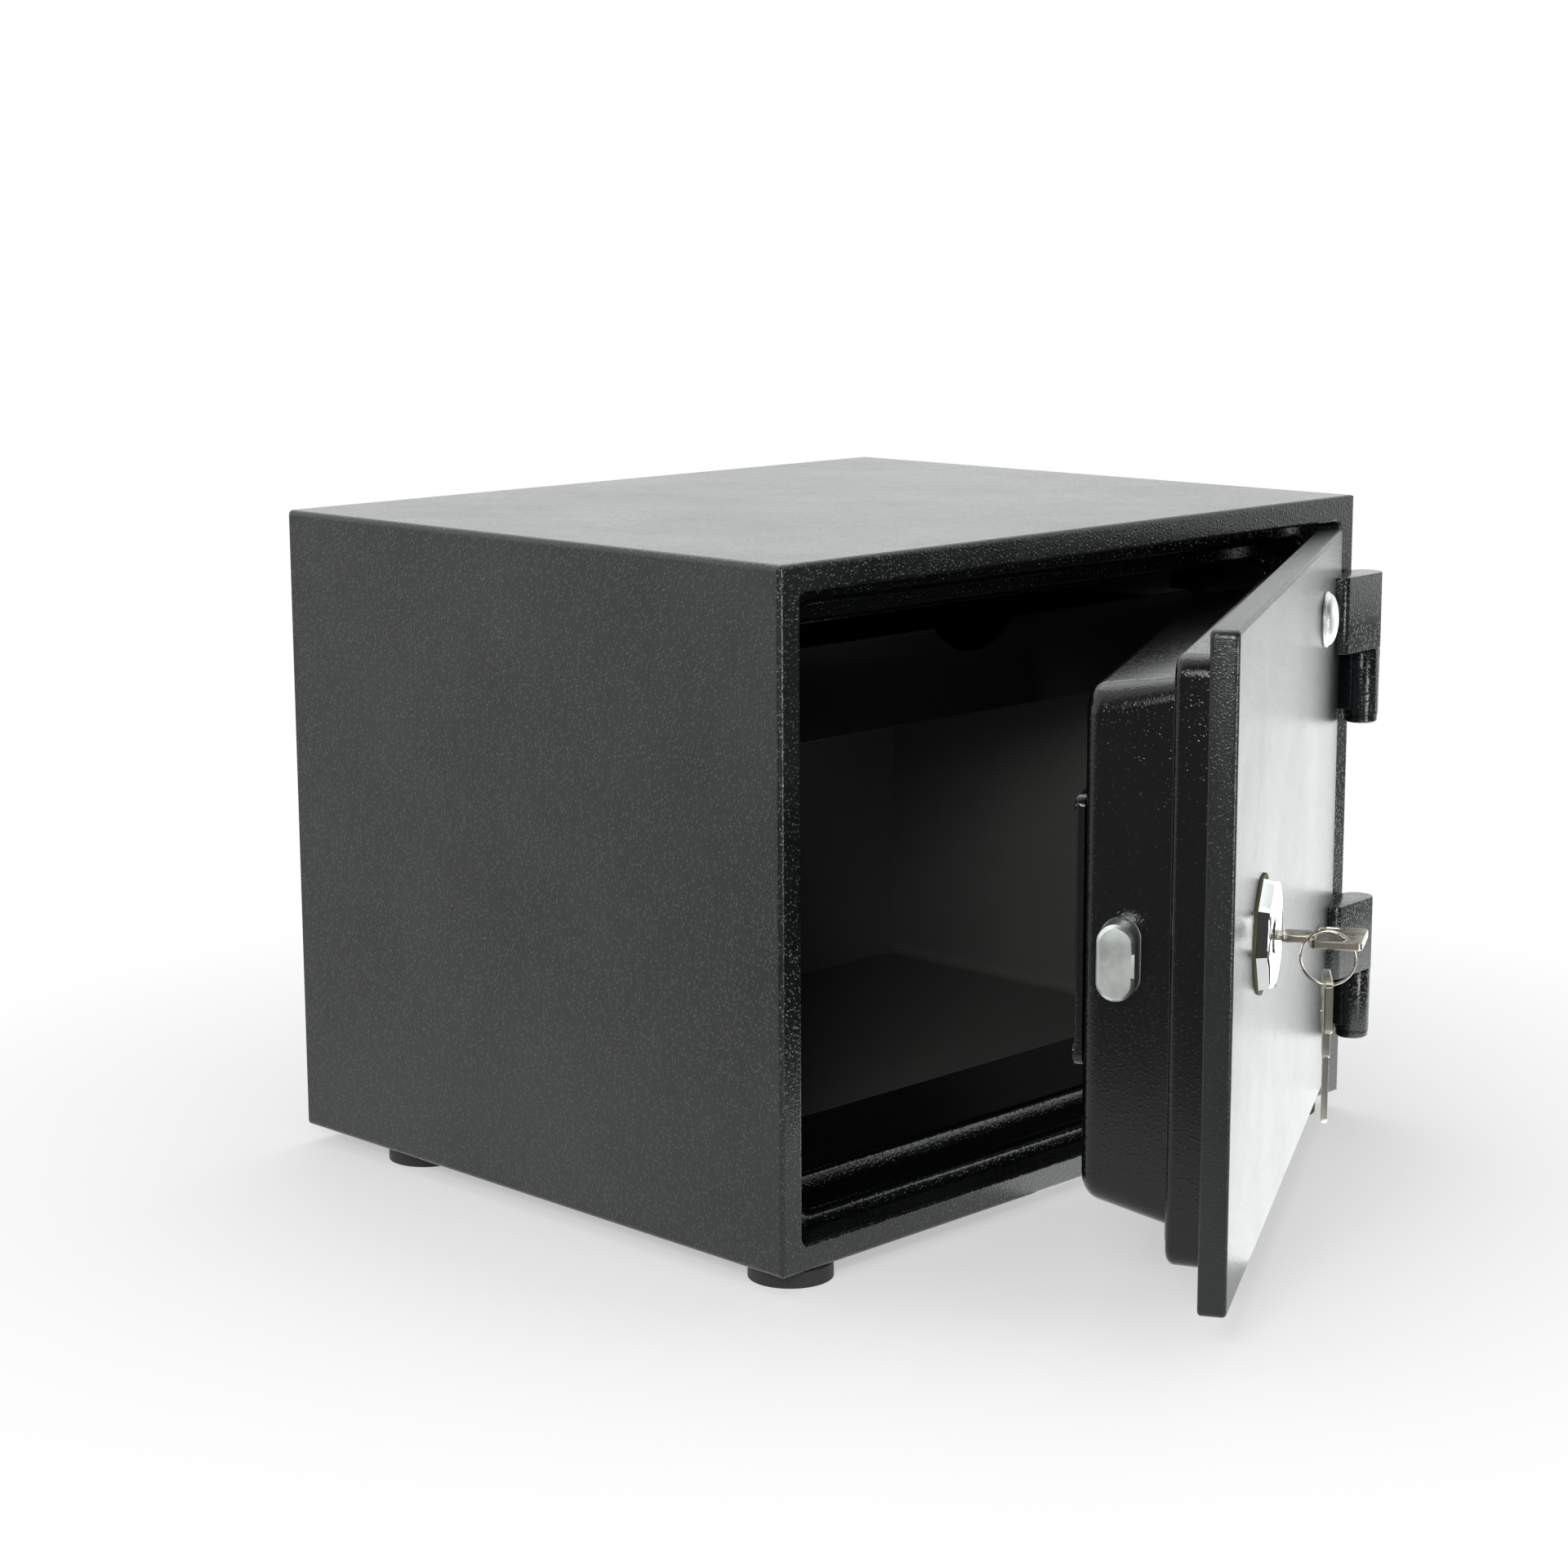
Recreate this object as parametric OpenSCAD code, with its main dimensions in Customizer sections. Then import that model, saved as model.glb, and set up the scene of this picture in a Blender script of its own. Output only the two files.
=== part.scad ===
// Free-standing fire safe with a key lock, door shown part open.
// Millimetres. Seen from the front: +X right, +Y into the safe, +Z up.
// The origin is on the floor, at the centre of the four feet.

/* [Body] */
// Width of the body
body_w = 396; // [380:1:420]
// Depth of the body, from front rim to back edge
body_d = 326; // [310:1:350]
// Height of the body without its feet
body_h = 300; // [290:1:320]
// Thickness of the sheet of shell and back
sheet = 1.5; // [1.2:0.1:1.8]
// Radius of the outer edges of the shell
edge_r = 2.5; // [2:0.1:4]
// How far the back panel sits inside the shell
back_inset = 2; // [1:0.5:6]

/* [Door frame] */
// Width of the folded front rim
rim_w = 12.2; // [11:0.1:14]
// Depth of the recess that takes the door plate
recess_d = 13; // [12.5:0.1:14]
// Width of the first step of the frame
step_1 = 9; // [7:0.1:9.5]
// Depth of the first step of the frame
ledge_d = 16.2; // [16:0.1:20]
// Width of the second step of the frame
step_2 = 10; // [9:0.1:11]
// Width of the inner lip that carries the throat
lip_w = 4.5; // [4:0.1:6]
// Where the throat ends, behind the rim
throat_end = 88; // [80:1:110]
// Radius of the first pressed edge
press_r1 = 4; // [2.5:0.1:5]
// Radius of the second pressed edge
press_r2 = 2.5; // [2:0.1:3]
// Inner corner radius of the recess
recess_r = 3; // [2:0.1:4]
// Inner corner radius of the first step
frame_r = 10; // [8:0.5:14]
// Inner corner radius of the throat
throat_r = 6; // [5:0.5:9]

/* [Interior] */
// Clear depth from the rim to the inner back wall
inner_d = 277; // [265:1:290]
// Thickness of the liner
liner_t = 1.2; // [1:0.1:1.6]
// Groove between throat and liner
liner_gap = 0.8; // [0.5:0.1:1]

/* [Feet] */
// Height of a foot
foot_h = 8; // [6:0.5:15]
// Radius of a foot
foot_r = 18.5; // [14:0.5:19]
// Foot centre from the side of the body
foot_side = 24.3; // [22:0.1:40]
// Front foot centre from the rim
foot_front = 19.5; // [19:0.5:40]
// Rear foot centre from the back edge
foot_rear = 61.5; // [25:0.5:90]
// Radius of the stem pushed through the shell
stem_r = 4; // [3:0.1:5]

/* [Door] */
// Angle at which the door stands open
door_angle = 29.3; // [28:0.1:32]
// Gap between door plate and rim
door_gap = 2.4; // [2.2:0.1:3]
// Thickness of the door plate
plate_t = 11.6; // [11:0.1:12]
// Wall of the door plate
plate_wall = 2; // [1.5:0.1:2.5]
// Radius of the door plate's edges
plate_r = 1.8; // [1:0.1:1.8]
// Sheet of the two stepped pans
pan_t = 1.5; // [1.2:0.1:1.8]
// How far the first pan is set in from the sides of the plate
pan_1_side = 15.5; // [15:0.1:18]
// How far the first pan is set in from the bottom of the plate
pan_1_low = 17.5; // [15:0.1:19]
// How far the first pan is set in from the top of the plate
pan_1_top = 12.5; // [12:0.1:18]
// Depth of the first pan behind the plate
pan_1_d = 15.6; // [15:0.1:15.8]
// How far the second pan is set in from the sides of the first
pan_2_side = 14.5; // [14:0.1:18]
// How far the second pan is set in from the bottom of the first
pan_2_low = 18; // [15:0.1:20]
// How far the second pan is set in from the top of the first
pan_2_top = 15.5; // [15:0.1:20]
// Depth of the second pan behind the first
pan_2_d = 37; // [36:0.1:38]
// Corner radius of the pans
pan_corner = 8; // [7:0.5:10]
// Radius of the first pan's back edge
pan_1_edge = 4; // [3:0.1:5]
// Radius of the second pan's back edge
pan_2_edge = 6; // [4:0.1:7]
// Thickness of the fire seal
seal_t = 1.1; // [0.8:0.1:1.2]
// Width of the fire seal
seal_w = 8; // [6:0.1:8.5]

/* [Inner cover] */
// Width of the cover on the back of the door
cover_w = 110; // [106:1:120]
// Height of the cover
cover_h = 110; // [106:1:114]
// Thickness of the cover
cover_t = 3.5; // [3:0.1:3.8]
// Height of the cover's centre over the underside of the body
cover_z = 158; // [156:0.5:160]
// Edge of the cover from the edge of the second pan
cover_in = 4.5; // [4:0.1:8]
// Radius of a cover screw's shank
screw_r = 1.7; // [1.5:0.1:1.8]

/* [Hinges] */
// Hinge axis from the side of the body
hinge_side = 4.5; // [3:0.1:5]
// Hinge axis in front of the rim
hinge_y = 10; // [9.8:0.1:11]
// Radius of the barrel
barrel_r = 8.4; // [8:0.1:9]
// Radius of the hinge pin
pin_r = 4; // [3:0.1:5]
// Running clearance of the pin in the door block
pin_play = 0.05; // [0.02:0.01:0.1]
// Height of the block on the door
block_h = 35.5; // [30:0.5:40]
// Reach of the block over the door plate
block_reach = 17.4; // [14:0.1:20]
// Height of the knuckle on the body
knuckle_h = 31; // [29:0.5:36]
// Height of the leaf welded to the rim
leaf_h = 28.5; // [24:0.5:28.5]
// Height of the pin's cap
cap_h = 3.6; // [3:0.1:5]
// Gap between block and knuckle
knuckle_gap = 0.4; // [0.3:0.05:0.6]
// Height of the upper hinge's parting line
hinge_high = 225; // [200:1:235]
// Height of the lower hinge's parting line
hinge_low = 66.5; // [60:1:90]

/* [Lock] */
// Lock axis from the door's latch edge
lock_edge = 83.4; // [81.4:0.1:85.4]
// Height of the lock axis over the underside of the body
lock_z = 150; // [149:0.5:156]
// Radius across the corners of the rosette
rosette_r = 24.5; // [22:0.1:26]
// Thickness of the rosette
rosette_t = 6.6; // [5:0.1:8]
// Bevel of the rosette
rosette_bevel = 2; // [1:0.1:3]
// Radius of the gasket under the rosette
gasket_r = 25.6; // [23:0.1:28]
// Thickness of the gasket
gasket_t = 1.4; // [1:0.1:2]
// Radius of the cylinder housing
housing_r = 9.5; // [9:0.1:10]
// Radius of the turning plug
plug_r = 6.5; // [6.2:0.1:7]
// Running clearance of the plug in its housing
plug_play = 0.05; // [0.02:0.01:0.1]
// Stroke of the bolt for a quarter turn of the key
bolt_throw = 10; // [9:0.1:10.5]
// Radius of the crank pin
crank_pin_r = 2; // [1.5:0.1:2.2]
// Clearance of the crank pin in its slot
crank_play = 0.55; // [0.55:0.05:0.8]

/* [Bolt] */
// Height of the bolt's section
bolt_h = 31; // [28:0.5:33]
// Width of the bolt's section
bolt_w = 15.5; // [14:0.5:16]
// Length of the bolt
bolt_len = 37.5; // [36:0.5:39]
// How far the bolt stands out with the door unlocked
bolt_out = 12; // [8:0.5:12]
// Bolt centre in front of the second pan's back
bolt_back = 15.5; // [15:0.1:17]
// Bevel round the bolt's end
bolt_bevel = 1.5; // [1:0.1:2]
// Clearance round the bolt
bolt_play = 0.4; // [0.3:0.05:0.6]
// Height of the keeper over and under the bolt
keeper_rim = 7; // [6.5:0.1:9]
// Thickness of the keeper behind the bolt's pocket
keeper_t = 3; // [2.5:0.1:4]
// Depth of the pocket past the end of the thrown bolt
pocket_deep = 8; // [6:0.1:9]

/* [Keys] */
// Length of the key's bow
bow_len = 22.5; // [21:0.5:24]
// Width of the key's bow
bow_w = 27; // [26:0.5:30]
// Thickness of the bow
bow_t = 2.9; // [2.5:0.1:3.2]
// Length of the shank between bow and blade
shank_len = 12.1; // [12:0.1:14]
// Width of the shank
shank_w = 11.5; // [10:0.1:12]
// Length of the blade
blade_len = 30; // [26:0.5:32]
// Width of the blade
blade_w = 8.6; // [8:0.1:9]
// Thickness of the blade
blade_t = 2.3; // [2:0.1:2.5]
// Radius of the ring to the middle of its wire
ring_r = 12; // [11.9:0.1:12.5]
// Radius of the ring's wire
wire_r = 0.8; // [0.7:0.05:0.9]

/* [Badge] */
// Badge centre from the door's hinge edge
badge_edge = 66.4; // [58:0.1:73]
// Height of the badge's centre over the underside of the body
badge_z = 250; // [240:1:255]
// Radius of the badge
badge_r = 13.2; // [10:0.1:14]
// Thickness of the badge
badge_t = 1.4; // [1:0.1:2]

/* [Tray] */
// Height of the tray's front
tray_front_h = 42.3; // [38:0.5:44]
// Clearance over the tray's front
tray_drop = 18; // [16:0.5:24]
// Room behind the tray
tray_back = 26.5; // [20:0.5:60]
// Width of a tray's runner
runner_w = 6.5; // [6:0.1:8]
// Room behind the rails
rail_back = 15; // [10:1:18]
// Reach of a rail below its runner
rail_drop = 12; // [8:1:14]
// Gap between tray front and closed door
tray_gap = 2.8; // [2.5:0.1:4]
// Radius of the finger notch
notch_r = 35.8; // [34:0.1:38]
// Depth of the finger notch
notch_d = 13.5; // [12:0.1:15]
// Wall of the tray
tray_t = 1.6; // [1.4:0.1:2]

/* [Hidden] */
$fn = 64;
// Seating gap between pieces of one body
seat = 0.1;
step_1_in = rim_w + step_1;
throat_in = step_1_in + step_2;
seam_in = throat_in - lip_w;
frame_y = recess_d + ledge_d;
throat_w = body_w - 2*throat_in;
throat_h = body_h - 2*throat_in;
mid_z = body_h/2;
foot_x = body_w/2 - foot_side;
foot_rear_y = body_d - foot_rear;
foot_mid_y = (foot_front + foot_rear_y)/2;

// Stepped door, drawn closed
plate_in = rim_w + door_gap;
plate_w = body_w - 2*plate_in;
hinge_x = body_w/2 - hinge_side;
lock_x = lock_edge - plate_w/2;
badge_x = plate_w/2 - badge_edge;
pan_1_w = plate_w - 2*pan_1_side;
pan_1_z0 = plate_in + pan_1_low;
pan_1_z1 = body_h - plate_in - pan_1_top;
pan_1_y = plate_t + pan_1_d;
pan_2_w = pan_1_w - 2*pan_2_side;
pan_2_z0 = pan_1_z0 + pan_2_low;
pan_2_z1 = pan_1_z1 - pan_2_top;
pan_2_y = pan_1_y + pan_2_d;
flange_1_y = plate_t - pan_t;
flange_2_y = pan_1_y - 2*pan_t - seat;

// Inner cover, and the lock case behind it
cover_x = -pan_2_w/2 + cover_in + cover_w/2;
cover_lap = 8;
screw_in = 5;
hole_w = cover_w - 2*cover_lap;
hole_h = cover_h - 2*cover_lap;
case_t = 1.5;
case_w = hole_w + 1.6;
case_h = hole_h + 1.6;
case_x0 = cover_x - case_w/2;
case_y1 = pan_2_y - pan_t - seat;

// Bolt and the plate that moves it
bolt_y = pan_2_y - bolt_back;
bolt_x = -pan_2_w/2 - bolt_out;
bolt_rear = bolt_x + bolt_len;
carrier_t = 3;
carrier_y = bolt_y - carrier_t - 0.7;
carrier_h = 26;
tongue_h = 20;
tongue_len = 12;
crank_off = bolt_throw/2;
crank_r = crank_off*sqrt(2);
slot_len = 9;
slot_z = lock_z + (crank_off + crank_r)/2;
guide_w = bolt_w + 5;
guide_h = bolt_h + 7;
pocket_x = -pan_2_w/2 - bolt_out - bolt_throw - pocket_deep;

// Lock cylinder, from its face to its tail
cyl_y0 = -gasket_t - rosette_t - 0.3;
cam_t = 3;
cam_y = carrier_y - 2 - cam_t;
plug_y1 = cam_y - 0.3;
housing_y1 = plug_y1 - 1.6;
nut_h = 3.4;
case_y0 = housing_y1 - nut_h - case_t - 0.4;

// Keys and ring
bow_y0 = cyl_y0 - seat - shank_len - bow_len;
bow_bar = 2.5;
bow_slot = 5;
bow_slot_w = 20;
ring_shift = 8;
bar_len = bow_len - bow_bar - bow_slot;
ring_y = bow_y0 + bow_len - bar_len/2;
ring_drop = sqrt(pow(ring_r - wire_r - 0.35, 2) - pow(bar_len/2, 2)) - bow_t/2;
ring_z = lock_z - ring_drop;
hang_gap = 0.7;
spare_z = ring_z - ring_r + wire_r + hang_gap + bow_bar;

// Tray and its runners
tray_w = throat_w - 6.6;
tray_box_w = tray_w - 2*runner_w;
tray_y = pan_2_y + cover_t + tray_gap;
tray_d = inner_d - tray_y - tray_back;
tray_top = body_h - throat_in - tray_drop;
tray_low = tray_top - tray_front_h;
tray_floor = tray_low + 1.5;
runner_z = tray_top - 6.8;
rail_gap = 0.3;

// Puts the body's own frame, whose front rim is at y = 0, over the feet
module on_body() { translate([0, -foot_mid_y, foot_h]) children(); }

// Turns a piece drawn for the closed door to the angle of the open door
module on_door() {
    on_body()
        translate([hinge_x, -hinge_y, 0])
            rotate([0, 0, door_angle])
                translate([-hinge_x, hinge_y, 0])
                    children();
}

// Rounded rectangle about the origin
module rrect(w, h, r) {
    square([w - 2*r, h], center = true);
    square([w, h - 2*r], center = true);
    for (x = [-1, 1], y = [-1, 1])
        translate([x*(w/2 - r), y*(h/2 - r)]) circle(r);
}

// Prism along Y of a rounded rectangle, w by h about height z
module slab_y(w, h, r, y0, y1, z) {
    translate([0, y0, z])
        rotate([-90, 0, 0])
            linear_extrude(y1 - y0) rrect(w, h, r);
}

// Block from z0 to z1 and y0 to y1: corners rounded by rc, edges at y1 by rb
module step_block(w, z0, z1, y0, y1, rc, rb) {
    y_far = y1 - y0 + 4*rb;
    y_mid = y1 - y_far/2;
    intersection() {
        slab_y(w, z1 - z0, rc, y0, y1, (z0 + z1)/2);
        translate([0, y_mid, z0])
            linear_extrude(z1 - z0) rrect(w, y_far, rb);
        translate([-w/2, y_mid, (z0 + z1)/2])
            rotate([90, 0, 90])
                linear_extrude(w) rrect(y_far, z1 - z0, rb);
    }
}

// Sweeps a profile round an opening: X is outward from its edge, Y into the safe
module around(w, h, r, z) {
    translate([0, 0, z]) {
        for (a = [0, 180]) {
            rotate([0, a, 0])
                translate([w/2, 0, -(h/2 - r)]) linear_extrude(h - 2*r) children();
            rotate([0, a - 90, 0])
                translate([h/2, 0, -(w/2 - r)]) linear_extrude(w - 2*r) children();
        }
        for (c = [[1, -1, 0], [-1, -1, 90], [-1, 1, 180], [1, 1, 270]])
            translate([c[0]*(w/2 - r), 0, c[1]*(h/2 - r)])
                rotate([-90, 0, 0])
                    rotate([0, 0, c[2]])
                        rotate_extrude(angle = 90)
                            translate([r, 0]) children();
    }
}

// Section of a sheet t thick, pressed round an edge of radius r: face w, wall d
module pressed(r, t, w, d) {
    intersection() {
        translate([-1, -1]) square(r + 1);
        difference() {
            translate([r, r]) circle(r);
            if (r > t + 0.01) translate([r, r]) circle(r - t);
        }
    }
    translate([r, 0]) square([w - r, t]);
    translate([0, r]) square([t, d - r]);
}

// Long rounded section of the bolt, lying along X about the origin
module obround_x(w, h, x0, x1) {
    for (s = [-1, 1])
        translate([x0, 0, s*(h - w)/2])
            rotate([0, 90, 0]) cylinder(r = w/2, h = x1 - x0);
    translate([x0, -w/2, -(h - w)/2]) cube([x1 - x0, w, h - w]);
}

// Box between two corners
module box(a, b) { translate(a) cube(b - a); }

// Repeats a piece at the four feet
module at_feet() {
    for (x = [-1, 1], y = [foot_front, foot_rear_y])
        translate([x*foot_x, y, 0]) children();
}

// Repeats a piece at the four corners of the inner cover
module at_screws() {
    for (x = [-1, 1], z = [-1, 1])
        translate([cover_x + x*(cover_w/2 - screw_in), 0, cover_z + z*(cover_h/2 - screw_in)])
            rotate([-90, 0, 0]) children();
}

// Shell: four walls, the folded front rim and its return into the door recess
module outer_shell() {
    open_w = body_w - 2*rim_w;
    open_h = body_h - 2*rim_w;
    color("#3d4241") on_body() difference() {
        union() {
            difference() {
                intersection() {
                    slab_y(body_w, body_h, edge_r, 0, body_d, mid_z);
                    translate([0, body_d/2 + 10, 0])
                        linear_extrude(body_h)
                            rrect(body_w, body_d + 20, edge_r - 0.5);
                    translate([-body_w/2, body_d/2 + 10, mid_z])
                        rotate([90, 0, 90])
                            linear_extrude(body_w)
                                rrect(body_d + 20, body_h, edge_r - 0.5);
                }
                slab_y(body_w - 2*sheet, body_h - 2*sheet, 1,
                    sheet, body_d + 1, mid_z);
                slab_y(open_w + 2*sheet + 1, open_h + 2*sheet + 1, recess_r + sheet + 0.5,
                    -1, sheet + 1, mid_z);
            }
            around(open_w, open_h, recess_r, mid_z)
                pressed(sheet, sheet, 2*sheet, recess_d - seat);
        }
        at_feet() translate([0, 0, -1]) cylinder(r = stem_r + 0.15, h = sheet + 2);
    }
}

// Flat panel let into the back of the shell
module back_panel() {
    color("#3a3f3e") on_body()
        slab_y(body_w - 2*(sheet + seat), body_h - 2*(sheet + seat), 1,
            body_d - back_inset - sheet, body_d - back_inset, mid_z);
}

// Pressed frame behind the rim: recess floor, rounded edge, ledge, second face
module front_frame() {
    in_1 = rim_w - 1.4;
    w1 = body_w - 2*step_1_in;
    h1 = body_h - 2*step_1_in;
    color("#15181a") on_body() {
        difference() {
            slab_y(body_w - 2*in_1, body_h - 2*in_1, recess_r + 1.4,
                recess_d, recess_d + sheet, mid_z);
            slab_y(w1 + 2*press_r1 + 1, h1 + 2*press_r1 + 1, frame_r + press_r1 + 0.5,
                0, body_d, mid_z);
        }
        around(w1, h1, frame_r, mid_z)
            translate([0, recess_d]) pressed(press_r1, sheet, press_r1 + 1, ledge_d + sheet);
        difference() {
            slab_y(w1 + sheet, h1 + sheet, frame_r + sheet/2,
                frame_y, frame_y + sheet, mid_z);
            slab_y(body_w - 2*seam_in, body_h - 2*seam_in, throat_r + lip_w,
                0, body_d, mid_z);
        }
    }
}

// Inner frame: rounded lip and the sleeve that leads into the safe
module throat_frame() {
    color("#101314") on_body() difference() {
        around(throat_w, throat_h, throat_r, mid_z)
            translate([0, frame_y])
                pressed(press_r2, sheet, lip_w - seat, throat_end - frame_y);
        box([-throat_w/2 - lip_w + seat/2, frame_y - 1, lock_z - bolt_h/2 - 4],
            [-throat_w/2 + 3, pan_2_y - 3, lock_z + bolt_h/2 + 4]);
    }
}

// Steel keeper in the latch side, with a shallow run-in and the bolt's pocket
module strike_keeper() {
    x1 = -throat_w/2 - sheet - seat;
    color("#7d8182") on_body() difference() {
        box([pocket_x - keeper_t, frame_y + sheet + 0.3, lock_z - bolt_h/2 - keeper_rim],
            [x1, pan_2_y + 2, lock_z + bolt_h/2 + keeper_rim]);
        box([x1 - 2.5, frame_y, lock_z - bolt_h/2 - 4],
            [x1 + 1, pan_2_y - 3, lock_z + bolt_h/2 + 4]);
        translate([pocket_x, bolt_y, lock_z])
            obround_x(bolt_w + 3, bolt_h + 3, 0, x1 + 1 - pocket_x);
    }
}

// Cavity lining: four walls and the back
module inner_liner() {
    y0 = throat_end + liner_gap;
    color("#4a4e4c") on_body() difference() {
        slab_y(throat_w + 2*liner_t, throat_h + 2*liner_t, throat_r + liner_t,
            y0, inner_d + liner_t, mid_z);
        slab_y(throat_w, throat_h, throat_r, y0 - 1, inner_d, mid_z);
    }
}

// Cast filling between shell, frame and liner
module body_insulation() {
    out = sheet + seat;
    ledge = step_1_in - sheet - 0.2;
    bore = throat_in - max(sheet, liner_t) - 0.2;
    color("#b9b2a3") on_body() difference() {
        slab_y(body_w - 2*out, body_h - 2*out, 1,
            recess_d + sheet + 0.2, body_d - back_inset - out, mid_z);
        slab_y(body_w - 2*ledge, body_h - 2*ledge, frame_r + 2,
            0, frame_y + sheet + 0.2, mid_z);
        slab_y(body_w - 2*bore, body_h - 2*bore, throat_r + 2,
            0, inner_d + liner_t + 0.2, mid_z);
        slab_y(body_w - 2*(step_1_in - press_r1 - 0.3), body_h - 2*(step_1_in - press_r1 - 0.3),
            frame_r + press_r1, 1, recess_d + press_r1 + 0.3, mid_z);
        slab_y(body_w - 2*(throat_in - press_r2 - 0.3), body_h - 2*(throat_in - press_r2 - 0.3),
            throat_r + press_r2, 1, frame_y + press_r2 + 0.3, mid_z);
        box([pocket_x - keeper_t - 0.2, frame_y + sheet, lock_z - bolt_h/2 - keeper_rim - 0.2],
            [-throat_w/2 + 2, pan_2_y + 2.2, lock_z + bolt_h/2 + keeper_rim + 0.2]);
        at_feet() cylinder(r = stem_r + 2, h = sheet + 5);
    }
}

// Four rubber feet, each with a stem and a lip that hold it in the shell
module feet() {
    color("#1b1c1c") on_body()
        at_feet()
            rotate_extrude()
                polygon([[0, -foot_h], [foot_r, -foot_h], [foot_r, -1.1],
                    [foot_r - 1, -seat], [stem_r, -seat], [stem_r, sheet + 0.1],
                    [stem_r + 1.2, sheet + 0.4], [stem_r - 0.6, sheet + 3.4],
                    [0, sheet + 3.4]]);
}

// Body half of a hinge: a knuckle with its leaf welded to the rim
module hinge_leaf(z) {
    leaf_x0 = plate_w/2 + 1.1;
    z0 = z - knuckle_h;
    color("#14171a") on_body() difference() {
        union() {
            translate([hinge_x, -hinge_y, z0])
                cylinder(r = barrel_r, h = knuckle_h - knuckle_gap);
            box([leaf_x0, -hinge_y, z - leaf_h], [body_w/2 - 0.3, -seat, z - knuckle_gap]);
        }
        translate([hinge_x, -hinge_y, z0 - 1]) cylinder(r = pin_r + 0.02, h = knuckle_h + 2);
    }
}
module hinge_leaf_upper() { hinge_leaf(hinge_high); }
module hinge_leaf_lower() { hinge_leaf(hinge_low); }

// Hinge pin: grooved cap below the knuckle, shaft up into the door block
module hinge_pin(z) {
    z0 = -knuckle_h - cap_h;
    color("#1a1d20") on_body()
        translate([hinge_x, -hinge_y, z])
            rotate_extrude()
                polygon([[0, z0], [barrel_r - 1.2, z0], [barrel_r - 0.4, z0 + 0.8],
                    [barrel_r - 0.4, z0 + cap_h - 0.9], [barrel_r - 1, z0 + cap_h - 0.9],
                    [barrel_r - 1, z0 + cap_h - 0.5], [barrel_r - 0.4, z0 + cap_h - 0.5],
                    [barrel_r - 0.4, -knuckle_h - seat], [pin_r, -knuckle_h - seat],
                    [pin_r, block_h - 6], [pin_r - 0.8, block_h - 5.2],
                    [0, block_h - 5.2]]);
}
module hinge_pin_upper() { hinge_pin(hinge_high); }
module hinge_pin_lower() { hinge_pin(hinge_low); }

// Door half of a hinge: cast block with a rounded side toward the lock
module hinge_block(z) {
    edge = hinge_x - plate_w/2 + 0.2;
    color("#23272a") on_door() difference() {
        translate([hinge_x, -hinge_y, z])
            linear_extrude(block_h) {
                circle(barrel_r);
                translate([-edge, -barrel_r]) square([edge, hinge_y + barrel_r - 0.5]);
                intersection() {
                    translate([-edge, block_reach - barrel_r]) circle(block_reach);
                    translate([-edge - block_reach - 1, -barrel_r - 1])
                        square([block_reach + 1.01, hinge_y + barrel_r + 1 - seat]);
                }
            }
        translate([hinge_x, -hinge_y, z - 1]) cylinder(r = pin_r + pin_play, h = block_h - 3);
    }
}
module hinge_block_upper() { hinge_block(hinge_high); }
module hinge_block_lower() { hinge_block(hinge_low); }

// Angle rail on a side wall of the liner
module drawer_rail() {
    x1 = throat_w/2 - 0.2;
    color("#2b2f31") on_body() {
        box([x1 - 1.2, tray_y + 6, runner_z - rail_drop], [x1, inner_d - rail_back, runner_z + 6]);
        box([tray_box_w/2 + 2, tray_y + 6, runner_z - rail_gap - 1.6],
            [x1 - 1, inner_d - rail_back, runner_z - rail_gap]);
    }
}
module drawer_rail_left() { mirror([1, 0, 0]) drawer_rail(); }
module drawer_rail_right() { drawer_rail(); }

// Front plate of the door: a folded pan, open at the back
module door_plate() {
    z1 = body_h - plate_in;
    color("#4d5251") on_door() difference() {
        translate([0, plate_t, 0])
            mirror([0, 1, 0])
                step_block(plate_w, plate_in, z1, 0, plate_t, recess_r, plate_r);
        slab_y(plate_w - 2*plate_wall, z1 - plate_in - 2*plate_wall, 1,
            plate_wall, plate_t + 1, mid_z);
        translate([lock_x, -1, lock_z]) rotate([-90, 0, 0])
            cylinder(r = housing_r + seat, h = plate_t + 2);
    }
}

// First stepped pan behind the door plate, with the flange that closes the plate
module door_step_pan() {
    flange = plate_wall + seat;
    color("#1a1d1f") on_door() difference() {
        union() {
            slab_y(plate_w - 2*flange, body_h - 2*(plate_in + flange), 0.9,
                flange_1_y, plate_t, mid_z);
            step_block(pan_1_w, pan_1_z0, pan_1_z1, flange_1_y + 1, pan_1_y,
                pan_corner, pan_1_edge);
        }
        step_block(pan_1_w - 2*pan_t, pan_1_z0 + pan_t, pan_1_z1 - pan_t,
            flange_1_y - 1, pan_1_y - pan_t, pan_corner - pan_t, pan_1_edge - pan_t);
        slab_y(pan_2_w + 2*seat, pan_2_z1 - pan_2_z0 + 2*seat, pan_corner + seat,
            pan_1_y - pan_t - 1, pan_1_y + 1, (pan_2_z0 + pan_2_z1)/2);
    }
}

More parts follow.
